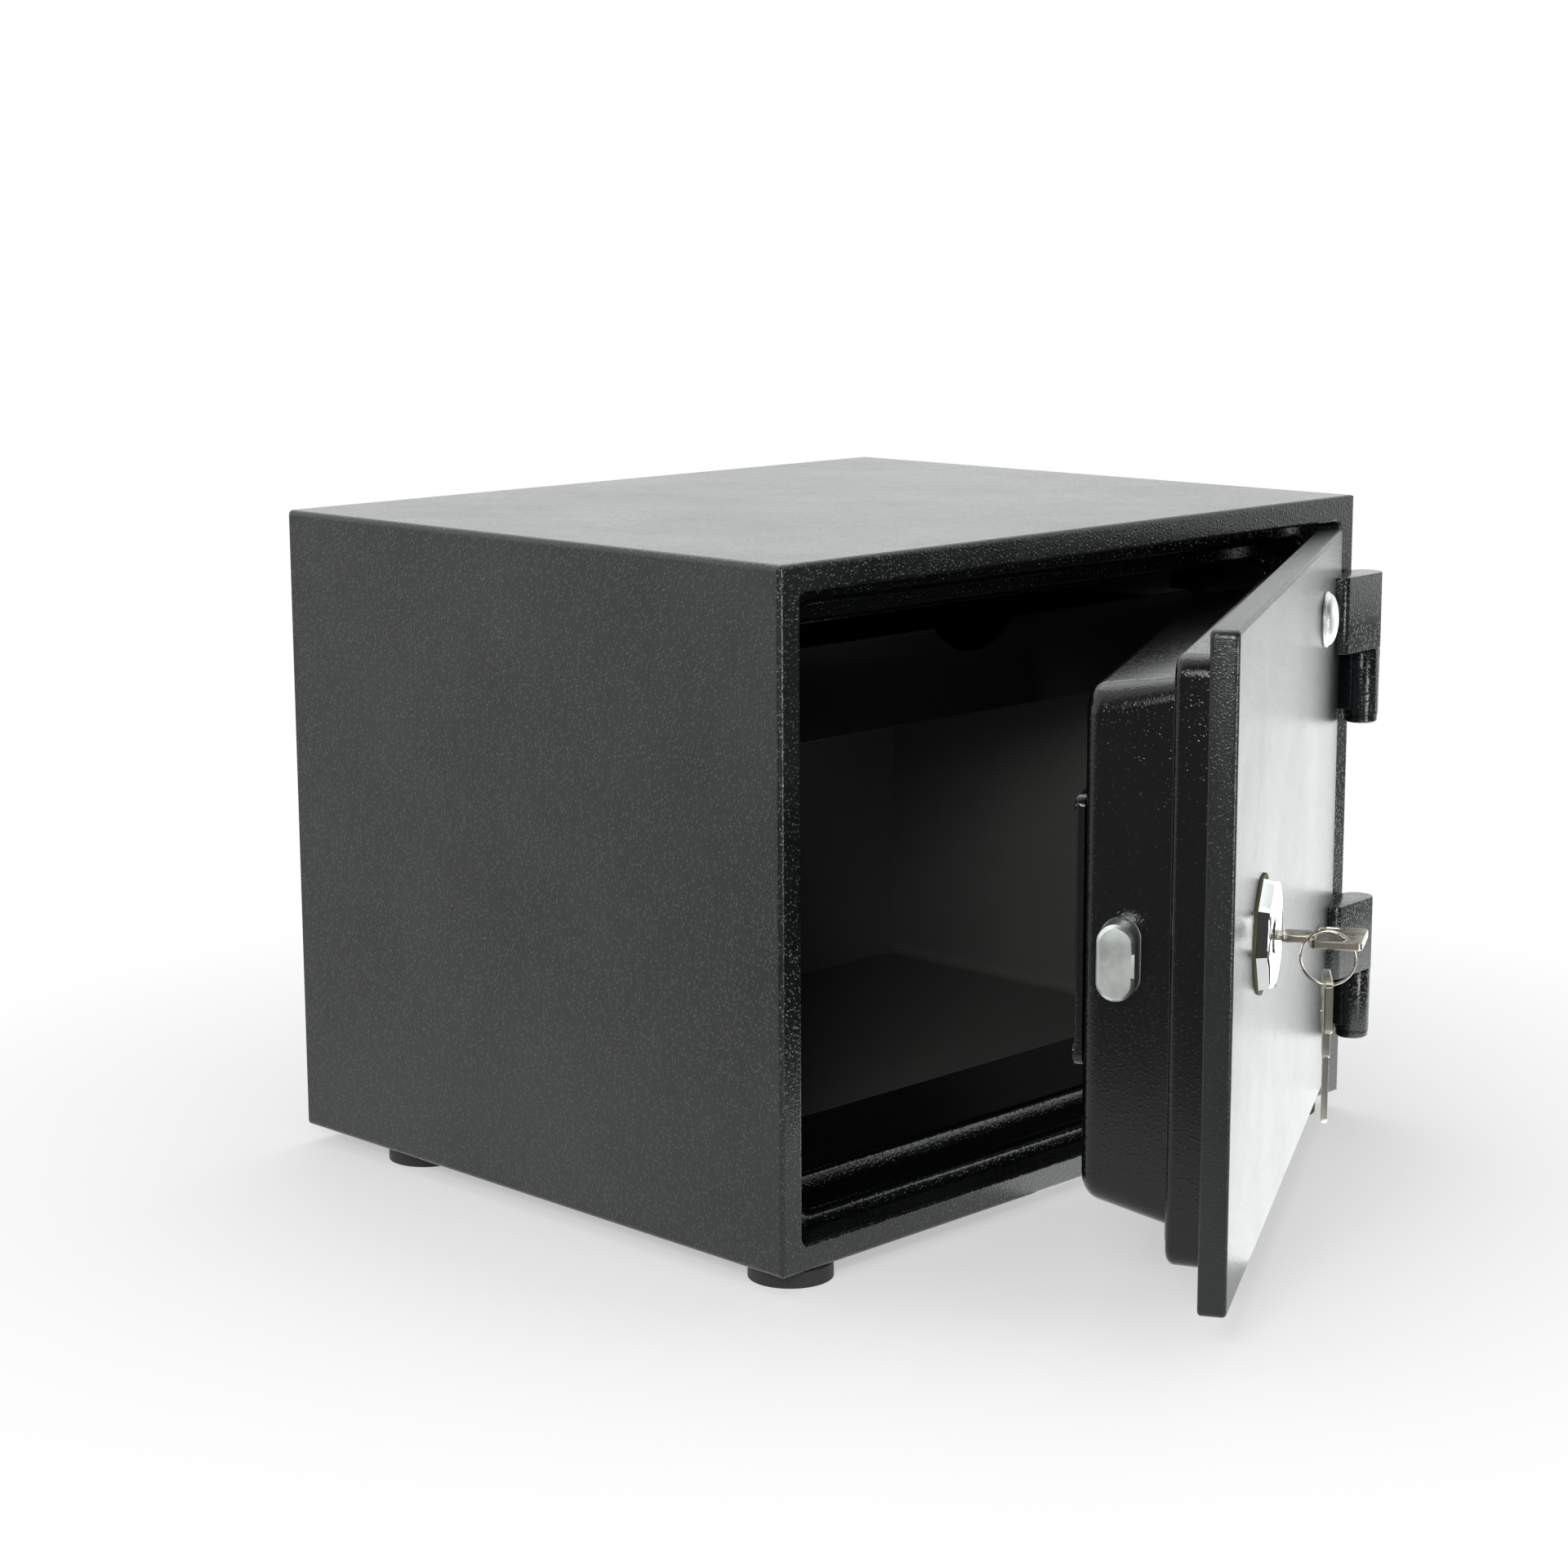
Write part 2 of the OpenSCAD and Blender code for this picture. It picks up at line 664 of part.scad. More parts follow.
// Second, deeper pan with the bolt's hole and the opening behind the cover
module door_inner_pan() {
    mid = (pan_2_z0 + pan_2_z1)/2;
    lap = 6;
    color("#1c1f21") on_door() difference() {
        union() {
            slab_y(pan_2_w + 2*lap, pan_2_z1 - pan_2_z0 + 2*lap, pan_corner + lap,
                flange_2_y, flange_2_y + pan_t, mid);
            step_block(pan_2_w, pan_2_z0, pan_2_z1, flange_2_y + 1, pan_2_y,
                pan_corner, pan_2_edge);
        }
        step_block(pan_2_w - 2*pan_t, pan_2_z0 + pan_t, pan_2_z1 - pan_t,
            flange_2_y - 1, pan_2_y - pan_t, pan_corner - pan_t, pan_2_edge - pan_t);
        translate([0, bolt_y, lock_z])
            obround_x(bolt_w + 2*bolt_play, bolt_h + 2*bolt_play,
                -pan_2_w/2 - 1, -pan_2_w/2 + pan_t + 1);
        box([cover_x - hole_w/2, pan_2_y - pan_t - 1, cover_z - hole_h/2],
            [cover_x + hole_w/2, pan_2_y + 1, cover_z + hole_h/2]);
        at_screws() cylinder(r = screw_r + 0.02, h = pan_2_y + 1);
    }
}

// Insulation in the door, with room for the lock
module door_insulation() {
    gap_0 = plate_wall + seat;
    gap = pan_t + seat;
    color("#b9b2a3") on_door() difference() {
        union() {
            slab_y(plate_w - 2*gap_0, body_h - 2*(plate_in + gap_0), 0.9,
                gap_0, flange_1_y - seat, mid_z);
            slab_y(pan_1_w - 2*gap, pan_1_z1 - pan_1_z0 - 2*gap, pan_corner - gap,
                flange_1_y - 1, flange_2_y - seat, (pan_1_z0 + pan_1_z1)/2);
            step_block(pan_2_w - 2*gap, pan_2_z0 + gap, pan_2_z1 - gap,
                flange_2_y - 1, pan_2_y - gap, pan_corner - gap, pan_2_edge - gap);
        }
        box([case_x0 - seat, case_y0 - seat, cover_z - case_h/2 - seat],
            [case_x0 + case_w + seat, pan_2_y, cover_z + case_h/2 + seat]);
        box([-pan_2_w/2, bolt_y - guide_w/2 - seat, lock_z - guide_h/2 - seat],
            [case_x0 + 1, bolt_y + guide_w/2 + seat, lock_z + guide_h/2 + seat]);
        translate([lock_x, 0, lock_z]) rotate([-90, 0, 0])
            cylinder(r = housing_r + 0.2, h = case_y0 + 1);
        at_screws() cylinder(r = screw_r + 0.4, h = pan_2_y + 1);
    }
}

// Fire seal stuck to the back of the first pan, round the second
module door_seal() {
    out = pan_1_edge + 0.4;
    color("#2c2c2a") on_door() difference() {
        slab_y(pan_1_w - 2*out, pan_1_z1 - pan_1_z0 - 2*out, pan_corner - 2,
            pan_1_y + 0.05, pan_1_y + seal_t, (pan_1_z0 + pan_1_z1)/2);
        slab_y(pan_1_w - 2*(out + seal_w), pan_1_z1 - pan_1_z0 - 2*(out + seal_w),
            pan_corner + 2, 0, pan_2_y, (pan_1_z0 + pan_1_z1)/2);
    }
}

// Cover over the lock on the back of the door
module inner_cover() {
    color("#202426") on_door() difference() {
        translate([cover_x, 0, 0])
            step_block(cover_w, cover_z - cover_h/2, cover_z + cover_h/2,
                pan_2_y + 0.05, pan_2_y + cover_t, 5, 1.2);
        at_screws() cylinder(r = screw_r + seat, h = pan_2_y + cover_t + 1);
    }
}

// Four pan-head screws with cross slots
module cover_screws() {
    y1 = pan_2_y + cover_t;
    color("#8c9092") on_door()
        at_screws() difference() {
            rotate_extrude()
                polygon([[0, pan_2_y - 5], [screw_r - 0.3, pan_2_y - 5],
                    [screw_r, pan_2_y - 4.5], [screw_r, y1 + 0.05], [3.5, y1 + 0.05],
                    [3.5, y1 + 0.6], [2.9, y1 + 1.1], [0, y1 + 1.3]]);
            for (a = [0, 90])
                rotate([0, 0, a]) translate([-1.8, -0.35, y1 + 0.5]) cube([3.6, 0.7, 2]);
        }
}

// Thin gasket between rosette and door
module lock_gasket() {
    color("#5b5a3c") on_door()
        translate([lock_x, 0, lock_z]) rotate([90, 0, 0]) difference() {
            translate([0, 0, 0.05]) cylinder(r = gasket_r, h = gasket_t - seat);
            translate([0, 0, -1]) cylinder(r = housing_r + seat, h = gasket_t + 2);
        }
}

// Eight-sided rosette with planed edges
module lock_rosette() {
    flat = rosette_r*cos(22.5);
    color("#c9ccce") on_door()
        translate([lock_x, -gasket_t, lock_z]) rotate([90, 0, 0])
            rotate([0, 0, 7]) difference() {
                linear_extrude(rosette_t) circle(r = rosette_r, $fn = 8);
                for (k = [0 : 7])
                    rotate([0, 0, 22.5 + 45*k])
                        translate([flat, 0, rosette_t - rosette_bevel])
                            rotate([0, -50, 0])
                                translate([0, -20, -10]) cube([20, 40, 30]);
                translate([0, 0, -1]) cylinder(r = housing_r + seat, h = rosette_t + 2);
            }
}

// Plain round badge
module round_badge() {
    color("#b9bcbd") on_door()
        translate([badge_x, 0, badge_z]) rotate([90, 0, 0])
            rotate_extrude()
                polygon([[0, 0.05], [badge_r, 0.05], [badge_r, badge_t - 0.4],
                    [badge_r - 0.4, badge_t], [badge_r - 1.6, badge_t],
                    [badge_r - 1.9, badge_t - 0.3], [0, badge_t - 0.3]]);
}

// Fixed part of the lock cylinder, from the door's face into the lock case
module cylinder_housing() {
    color("#c2c5c7") on_door()
        translate([lock_x, cyl_y0, lock_z]) rotate([-90, 0, 0]) difference() {
            rotate_extrude()
                polygon([[plug_r + plug_play, 0], [housing_r - 0.8, 0], [housing_r, 0.8],
                    [housing_r, housing_y1 - cyl_y0], [plug_r + plug_play, housing_y1 - cyl_y0]]);
        }
}

// Nut that holds the cylinder in the lock case
module lock_nut() {
    color("#b08a3e") on_door()
        translate([lock_x, case_y0 + case_t + seat, lock_z]) rotate([-90, 0, 0])
            difference() {
                linear_extrude(nut_h) circle(r = 13.8, $fn = 6);
                translate([0, 0, -1]) cylinder(r = housing_r + 0.05, h = nut_h + 2);
            }
}

// Sheet box round the lock, with two bars that guide the carrier
module lock_case() {
    z0 = cover_z - case_h/2;
    z1 = cover_z + case_h/2;
    bar = carrier_h/2 + 0.4;
    color("#777b7c") on_door() difference() {
        union() {
            difference() {
                box([case_x0, case_y0, z0], [case_x0 + case_w, case_y1, z1]);
                box([case_x0 + case_t, case_y0 + case_t, z0 + case_t],
                    [case_x0 + case_w - case_t, case_y1 + 1, z1 - case_t]);
            }
            for (s = [-1, 1])
                translate([0, 0, slot_z - 5 + s*(bar + 1.5)])
                    box([bolt_rear + 2, case_y0 + 1, -1.5], [lock_x + 16, carrier_y + 5, 1.5]);
        }
        translate([0, bolt_y, lock_z])
            obround_x(bolt_w + 2*bolt_play, bolt_h + 2*bolt_play,
                case_x0 - 1, case_x0 + case_t + 1);
        translate([lock_x, case_y0 - 1, lock_z]) rotate([-90, 0, 0])
            cylinder(r = housing_r + 0.1, h = case_t + 2);
    }
}

// Guide block of the bolt between the pan's side and the lock case
module bolt_guide() {
    color("#8f9394") on_door() difference() {
        box([-pan_2_w/2 + pan_t + seat, bolt_y - guide_w/2, lock_z - guide_h/2],
            [case_x0 - seat, bolt_y + guide_w/2 - 1, lock_z + guide_h/2]);
        translate([-pan_2_w/2, bolt_y, lock_z])
            obround_x(bolt_w + 2*bolt_play, bolt_h + 2*bolt_play, -1, 40);
    }
}

// Turning plug with its keyway and square tail
module cylinder_plug() {
    len = plug_y1 - cyl_y0;
    color("#cfd2d3") on_door()
        translate([lock_x, cyl_y0, lock_z]) rotate([-90, 0, 0]) {
            difference() {
                cylinder(r = plug_r, h = len);
                translate([-blade_w/2 - 0.2, -blade_t/2 - 0.2, -1])
                    cube([blade_w + 0.4, blade_t + 0.4, blade_len + 3]);
            }
            translate([-3, -3, len - 0.1]) cube([6, 6, cam_t + 0.6]);
        }
}

// Cam on the plug's tail, with the crank pin that drives the bolt
module lock_cam() {
    color("#a9adae") on_door() {
        translate([lock_x, cam_y, lock_z]) rotate([-90, 0, 0]) difference() {
            cylinder(r = 10, h = cam_t);
            translate([-3.05, -3.05, -1]) cube([6.1, 6.1, cam_t + 2]);
        }
        translate([lock_x + crank_off, cam_y + cam_t - 0.5, lock_z + crank_off])
            rotate([-90, 0, 0]) cylinder(r = crank_pin_r, h = carrier_t + 3.6);
    }
}

// Key with its bow end at the origin, lying flat along X
module key_blank() {
    x1 = bow_len + shank_len;
    difference() {
        union() {
            translate([bow_len/2, 0, 0])
                translate([0, 0, -bow_t/2]) linear_extrude(bow_t) rrect(bow_len, bow_w, 5);
            translate([bow_bar + bow_slot/2, 0, 0]) {
                translate([0, 0, -bow_t/2 - 0.25])
                    linear_extrude(bow_t + 0.5) rrect(bow_slot + 3, bow_slot_w + 3, 2.5);
            }
            box([bow_len - 1, -shank_w/2, -bow_t/2], [x1, shank_w/2, bow_t/2]);
            translate([x1 - 0.5, 0, -blade_t/2])
                linear_extrude(blade_t)
                    polygon([[0, -blade_w/2], [blade_len - 2.5, -blade_w/2],
                        [blade_len + 0.5, -1], [blade_len + 0.5, 1],
                        [blade_len - 2.5, blade_w/2], [0, blade_w/2]]);
        }
        translate([bow_bar + bow_slot/2, 0, -5])
            linear_extrude(10) rrect(bow_slot, bow_slot_w, 2.2);
        for (s = [-1, 1]) {
            translate([x1 + 1, -0.7, s*blade_t/2 - 0.45]) cube([blade_len, 1.4, 0.9]);
            for (n = [[5, 1.1], [9.5, 1.8], [14, 0.8], [18.5, 1.5], [23, 1.2]])
                translate([x1 + n[0], s*blade_w/2, -5])
                    rotate([0, 0, 45]) translate([-n[1], -n[1], 0]) cube([2*n[1], 2*n[1], 10]);
        }
    }
}

// Key in the lock, in the unlocked position
module door_key() {
    color("#c3beb2") on_door()
        translate([lock_x, bow_y0, lock_z]) rotate([0, 0, 90]) key_blank();
}

// Bolt with a bevelled end and a slot at its rear for the carrier
module live_bolt() {
    mid_h = bolt_h - bolt_w;
    color("#d5d8da") on_door() difference() {
        translate([0, bolt_y, lock_z]) {
            obround_x(bolt_w, bolt_h, bolt_x + bolt_bevel, bolt_rear);
            for (s = [-1, 1])
                translate([bolt_x, 0, s*mid_h/2]) rotate([0, 90, 0])
                    cylinder(r1 = bolt_w/2 - bolt_bevel, r2 = bolt_w/2, h = bolt_bevel);
            translate([bolt_x, 0, -mid_h/2]) linear_extrude(mid_h)
                polygon([[0, -bolt_w/2 + bolt_bevel], [bolt_bevel, -bolt_w/2],
                    [bolt_bevel, bolt_w/2], [0, bolt_w/2 - bolt_bevel]]);
            box([bolt_x, -bolt_w/2, -5.4], [bolt_x + bolt_bevel + 2, 0, 4.1]);
        }
        box([bolt_rear - tongue_len - 0.5, carrier_y - seat, lock_z - tongue_h/2 - seat],
            [bolt_rear + 1, carrier_y + carrier_t + seat, lock_z + tongue_h/2 + seat]);
        at_rivets() cylinder(r = 1.8, h = bolt_w + 2);
    }
}

// Repeats a piece at the two rivets that join bolt and carrier
module at_rivets() {
    for (s = [-1, 1])
        translate([bolt_rear - 6, bolt_y - bolt_w/2 - 1, lock_z + s*6])
            rotate([-90, 0, 0]) children();
}

// Plate that the cam's pin moves, with its tongue in the bolt
module bolt_carrier() {
    color("#9a9e9f") on_door() difference() {
        union() {
            box([bolt_rear + 0.5, carrier_y, slot_z - 5 - carrier_h/2],
                [lock_x + crank_off + 9, carrier_y + carrier_t, slot_z - 5 + carrier_h/2]);
            box([bolt_rear - tongue_len, carrier_y, lock_z - tongue_h/2],
                [bolt_rear + 1, carrier_y + carrier_t, lock_z + tongue_h/2]);
        }
        translate([lock_x + crank_off, carrier_y - 1, slot_z]) rotate([-90, 0, 0])
            linear_extrude(carrier_t + 2)
                rrect(2*(crank_pin_r + crank_play), slot_len, crank_pin_r + crank_play - 0.01);
        at_rivets() cylinder(r = 1.8, h = bolt_w + 2);
    }
}

// Two rivets through bolt and carrier
module carrier_rivets() {
    color("#9a9e9f") on_door()
        at_rivets() translate([0, 0, 1.2]) cylinder(r = 1.78, h = bolt_w - 0.4);
}

// Split ring of two turns of wire, through the slot of the key's bow
module key_ring() {
    color("#d0d3d5") on_door()
        translate([lock_x - ring_shift, ring_y, ring_z]) rotate([0, 90, 0])
            rotate_extrude()
                for (s = [-1, 1]) translate([ring_r, s*0.7*wire_r/0.8]) circle(wire_r);
}

// Second key, hanging from the ring
module spare_key() {
    color("#c3beb2") on_door()
        translate([lock_x - ring_shift, ring_y, spare_z]) rotate([90, 90, 0]) key_blank();
}

// Shallow tray on runners, with a finger notch in its front
module drawer_tray() {
    y1 = tray_y + tray_d;
    wall = runner_z + tray_t;
    color("#26292b") on_body() difference() {
        union() {
            slab_y(tray_w, tray_front_h, 5, tray_y, tray_y + 2.4, tray_low + tray_front_h/2);
            box([-tray_w/2, tray_y, tray_low], [tray_w/2, tray_y + 2.4, tray_low + 12]);
            difference() {
                box([-tray_box_w/2, tray_y + 1, tray_floor], [tray_box_w/2, y1, wall]);
                box([-tray_box_w/2 + tray_t, tray_y, tray_floor + tray_t],
                    [tray_box_w/2 - tray_t, y1 - tray_t, wall + 1]);
            }
            for (s = [0, 1])
                mirror([s, 0, 0])
                    box([tray_box_w/2 - 1, tray_y + 1, runner_z], [tray_w/2 - 0.5, y1, wall]);
        }
        translate([0, tray_y - 1, tray_top - notch_d + notch_r]) rotate([-90, 0, 0])
            cylinder(r = notch_r, h = 3.6);
    }
}

outer_shell();
back_panel();
front_frame();
throat_frame();
inner_liner();
body_insulation();
strike_keeper();
feet();
hinge_leaf_upper();
hinge_leaf_lower();
hinge_pin_upper();
hinge_pin_lower();
drawer_rail_left();
drawer_rail_right();
door_plate();
door_step_pan();
door_inner_pan();
door_insulation();
door_seal();
inner_cover();
cover_screws();
hinge_block_upper();
hinge_block_lower();
lock_gasket();
lock_rosette();
round_badge();
cylinder_housing();
lock_nut();
lock_case();
bolt_guide();
cylinder_plug();
lock_cam();
door_key();
live_bolt();
bolt_carrier();
carrier_rivets();
key_ring();
spare_key();
drawer_tray();
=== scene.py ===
import math

import bmesh
import bpy
from mathutils import Matrix, Vector


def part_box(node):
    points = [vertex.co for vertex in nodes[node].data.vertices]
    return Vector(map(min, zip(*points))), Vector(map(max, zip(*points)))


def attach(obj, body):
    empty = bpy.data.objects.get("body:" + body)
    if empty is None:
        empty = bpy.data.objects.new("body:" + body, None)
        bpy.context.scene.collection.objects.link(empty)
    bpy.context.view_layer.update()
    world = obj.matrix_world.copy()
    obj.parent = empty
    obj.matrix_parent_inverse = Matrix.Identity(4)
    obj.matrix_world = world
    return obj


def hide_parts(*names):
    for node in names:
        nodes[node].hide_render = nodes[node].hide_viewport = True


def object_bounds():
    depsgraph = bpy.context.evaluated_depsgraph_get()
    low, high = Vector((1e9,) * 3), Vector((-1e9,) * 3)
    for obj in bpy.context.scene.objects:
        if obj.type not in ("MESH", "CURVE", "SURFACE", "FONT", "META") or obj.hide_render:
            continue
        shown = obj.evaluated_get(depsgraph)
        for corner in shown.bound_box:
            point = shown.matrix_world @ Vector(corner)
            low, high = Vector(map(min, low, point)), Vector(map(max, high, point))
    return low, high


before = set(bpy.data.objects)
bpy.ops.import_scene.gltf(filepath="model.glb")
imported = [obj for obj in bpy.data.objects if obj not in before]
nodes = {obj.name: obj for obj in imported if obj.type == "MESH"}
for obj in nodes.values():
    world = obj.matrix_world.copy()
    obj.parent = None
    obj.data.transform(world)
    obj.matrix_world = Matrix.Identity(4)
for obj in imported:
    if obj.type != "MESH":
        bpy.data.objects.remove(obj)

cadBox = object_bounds()
print("frame loaded:", len(nodes), "nodes")

view = {
    "eye": (-1.10837, -1.05142, 0.46096),  # metres
    "azimuth": -45.095,
    "elevation": 10.647,
    "roll": -0.265,
    "lens": 74.14,
    "sensor": 36.0,
    "clip": (0.02, 60.0),
}


def makeCamera():
    azimuth, elevation, roll = (math.radians(view[k]) for k in ("azimuth", "elevation", "roll"))
    level = math.cos(elevation)
    back = Vector((math.sin(azimuth) * level, -math.cos(azimuth) * level, math.sin(elevation)))
    right = Vector((0, 0, 1)).cross(back).normalized()
    up = back.cross(right)
    x = right * math.cos(roll) + up * math.sin(roll)
    y = up * math.cos(roll) - right * math.sin(roll)
    data = bpy.data.cameras.new("camera")
    data.lens = view["lens"]
    data.sensor_width = view["sensor"]
    data.clip_start, data.clip_end = view["clip"]
    cam = bpy.data.objects.new("camera", data)
    turn = Matrix((x, y, back)).transposed().to_4x4()
    cam.matrix_world = Matrix.Translation(view["eye"]) @ turn
    bpy.context.scene.collection.objects.link(cam)
    bpy.context.scene.camera = cam


makeCamera()
bpy.context.scene.view_settings.view_transform = "Standard"
print("camera set")


# shader helpers

def newGroup(name, inputs, outputs):
    group = bpy.data.node_groups.new(name, "ShaderNodeTree")
    for label, value in inputs:
        socket = group.interface.new_socket(name=label, in_out="INPUT", socket_type="NodeSocketFloat")
        socket.default_value = value
    for label in outputs:
        group.interface.new_socket(name=label, in_out="OUTPUT", socket_type="NodeSocketFloat")
    return group, group.nodes.new("NodeGroupInput"), group.nodes.new("NodeGroupOutput")


def add(tree, kind, links=None, **values):  # a node, its settings and what feeds it
    made = tree.nodes.new(kind)
    for key, value in values.items():
        setattr(made, key, value)
    for key, source in (links or {}).items():
        if isinstance(source, bpy.types.NodeSocket):
            tree.links.new(source, made.inputs[key])
        else:
            made.inputs[key].default_value = source
    return made


def calc(tree, how, *terms):
    return add(tree, "ShaderNodeMath", dict(enumerate(terms)), operation=how).outputs[0]


def vectors(tree, how, links):
    return add(tree, "ShaderNodeVectorMath", links, operation=how).outputs


def noise(tree, at, scale, detail, rough=0.5):
    return add(tree, "ShaderNodeTexNoise", {
        "Vector": at, "Scale": scale, "Detail": detail, "Roughness": rough,
    }).outputs


def spread(tree, value, low, high, newLow, newHigh, how="LINEAR"):  # a value moved from one range to another
    return add(tree, "ShaderNodeMapRange", {
        "Value": value, "From Min": low, "From Max": high, "To Min": newLow, "To Max": newHigh,
    }, interpolation_type=how).outputs[0]


def objectCoords(tree):
    return add(tree, "ShaderNodeTexCoord").outputs["Object"]


pebbles = {
    # counted in lumps, so that the pattern grows with the cell
    "bend": 0.55,         # frequency of the noise that bends the lumps' outlines
    "wander": 1.1,        # how far it moves them
    "melt": 0.35,         # how softly neighbours join
    "crease": 0.46,       # from a lump's middle to its crease
    "grain": 1.9,         # frequency of the fine grain
    "wave": 0.22,         # frequency of the slow wave
    "patches": 14.0,      # per metre, where the coat lies thicker or thinner
    "patchRough": 0.6,
    "patchRange": (0.3, 0.7),
}


def makeOrangePeel():
    # the pebbled surface of a stoved coat: rounded lumps with thin creases, a finer grain, a slow wave
    group, given, out = newGroup("orangePeel",
                                 [("Cell mm", 1.8), ("Relief mm", 0.06), ("Grain", 0.3), ("Wave", 0.5)],
                                 ["Height", "Patch", "Crest"])
    at = objectCoords(group)
    density = calc(group, "DIVIDE", 1000.0, given.outputs["Cell mm"])
    bend = noise(group, at, calc(group, "MULTIPLY", density, pebbles["bend"]), 2.0)["Color"]
    shift = vectors(group, "SUBTRACT", {0: bend, 1: (0.5, 0.5, 0.5)})[0]
    reach = calc(group, "DIVIDE", pebbles["wander"], density)
    wander = vectors(group, "SCALE", {0: shift, "Scale": reach})[0]
    place = vectors(group, "ADD", {0: at, 1: wander})[0]
    lumps = add(group, "ShaderNodeTexVoronoi",
                {"Vector": place, "Scale": density, "Smoothness": pebbles["melt"]}, feature="SMOOTH_F1")
    grain = noise(group, at, calc(group, "MULTIPLY", density, pebbles["grain"]), 2.0)["Fac"]
    slow = noise(group, at, calc(group, "MULTIPLY", density, pebbles["wave"]), 1.0)["Fac"]
    dome = spread(group, lumps.outputs["Distance"], 0.0, pebbles["crease"], 1.0, 0.0, "SMOOTHSTEP")
    fine = calc(group, "MULTIPLY", grain, given.outputs["Grain"])
    swell = calc(group, "MULTIPLY", slow, given.outputs["Wave"])
    total = calc(group, "ADD", calc(group, "ADD", dome, fine), swell)
    height = calc(group, "MULTIPLY", total, calc(group, "DIVIDE", given.outputs["Relief mm"], 1000.0))
    patch = noise(group, at, pebbles["patches"], 4.0, pebbles["patchRough"])["Fac"]
    group.links.new(height, out.inputs["Height"])
    group.links.new(spread(group, patch, *pebbles["patchRange"], 0.0, 1.0), out.inputs["Patch"])
    group.links.new(dome, out.inputs["Crest"])
    return group


brushing = {
    "rough": 0.65,
    "smears": 45.0,       # per metre, where hands have dulled the metal
    "smearRange": (0.35, 0.7),
    "lineRange": (0.3, 0.7),
    "gleam": (0.8, 1.25),   # roughness between the lines and on them, times the finish's own
}


def makeFineLines():
    # drawing or brushing lines, long in one direction
    group, given, out = newGroup("fineLines", [("Along X", 30.0), ("Along Y", 30.0), ("Along Z", 900.0)],
                                 ["Lines", "Smear"])
    at = objectCoords(group)
    size = add(group, "ShaderNodeCombineXYZ", {i: given.outputs[i] for i in range(3)})
    place = vectors(group, "MULTIPLY", {0: at, 1: size.outputs[0]})[0]
    lines = noise(group, place, 1.0, 4.0, brushing["rough"])["Fac"]
    smear = noise(group, at, brushing["smears"], 3.0)["Fac"]
    group.links.new(lines, out.inputs["Lines"])
    group.links.new(spread(group, smear, *brushing["smearRange"], 0.0, 1.0), out.inputs["Smear"])
    return group


orangePeel = makeOrangePeel()
fineLines = makeFineLines()


def startMaterial(name):
    material = bpy.data.materials.new(name)
    material.use_nodes = True
    tree = material.node_tree
    return material, tree, tree.nodes["Principled BSDF"]


def shade(tree, mask, dark, light):
    mix = add(tree, "ShaderNodeMix", data_type="RGBA")
    tree.links.new(mask, mix.inputs["Factor"])
    mix.inputs[6].default_value = (*dark, 1)   # the node's two colours
    mix.inputs[7].default_value = (*light, 1)
    return mix.outputs[2]


coating = {
    "patch": 0.25, "crestGlintAndGloss": 0.75,   # how far the patches and the crests reach toward the light colour; on the crests that is a painted glint
    "worn": 0.05,                   # how much glossier the crests are, and duller the patches
}


def coat(name, dark, light, rough, cell, relief, grain=0.3, wave=0.35, gloss=1.5):
    # stoved enamel on steel: crests a little worn and glossier than the creases, and painted lighter as painted
    # glints, so that the creases read darker as painted shade
    material, tree, shader = startMaterial(name)
    peel = add(tree, "ShaderNodeGroup", node_tree=orangePeel)
    for label, value in (("Cell mm", cell), ("Relief mm", relief), ("Grain", grain), ("Wave", wave)):
        peel.inputs[label].default_value = value
    patch, crestGlintAndGloss = peel.outputs["Patch"], peel.outputs["Crest"]
    # the crests' lighter colour is a painted glint on each lump; the patches' share is the coat's own uneven tone
    tone = calc(tree, "ADD", calc(tree, "MULTIPLY", patch, coating["patch"]),
                calc(tree, "MULTIPLY", crestGlintAndGloss, coating["crestGlintAndGloss"]))
    tree.links.new(shade(tree, tone, dark, light), shader.inputs["Base Color"])
    blur = calc(tree, "SUBTRACT", spread(tree, patch, 0.0, 1.0, rough, rough + coating["worn"]),
                calc(tree, "MULTIPLY", crestGlintAndGloss, coating["worn"]))
    tree.links.new(blur, shader.inputs["Roughness"])
    bump = add(tree, "ShaderNodeBump", {"Height": peel.outputs["Height"], "Distance": 1.0, "Strength": 1.0})
    tree.links.new(bump.outputs[0], shader.inputs["Normal"])
    shader.inputs["IOR"].default_value = gloss
    return material


def metal(name, dark, light, rough, lines, depth=0.000003):
    material, tree, shader = startMaterial(name)
    brush = add(tree, "ShaderNodeGroup", node_tree=fineLines)
    for i in range(3):
        brush.inputs[i].default_value = lines[i]
    tree.links.new(shade(tree, brush.outputs["Smear"], dark, light), shader.inputs["Base Color"])
    least, most = (rough * share for share in brushing["gleam"])
    tree.links.new(spread(tree, brush.outputs["Lines"], *brushing["lineRange"], least, most),
                   shader.inputs["Roughness"])
    shader.inputs["Metallic"].default_value = 1.0
    height = calc(tree, "MULTIPLY", brush.outputs["Lines"], depth)
    bump = add(tree, "ShaderNodeBump", {"Height": height, "Distance": 1.0})
    tree.links.new(bump.outputs[0], shader.inputs["Normal"])
    return material


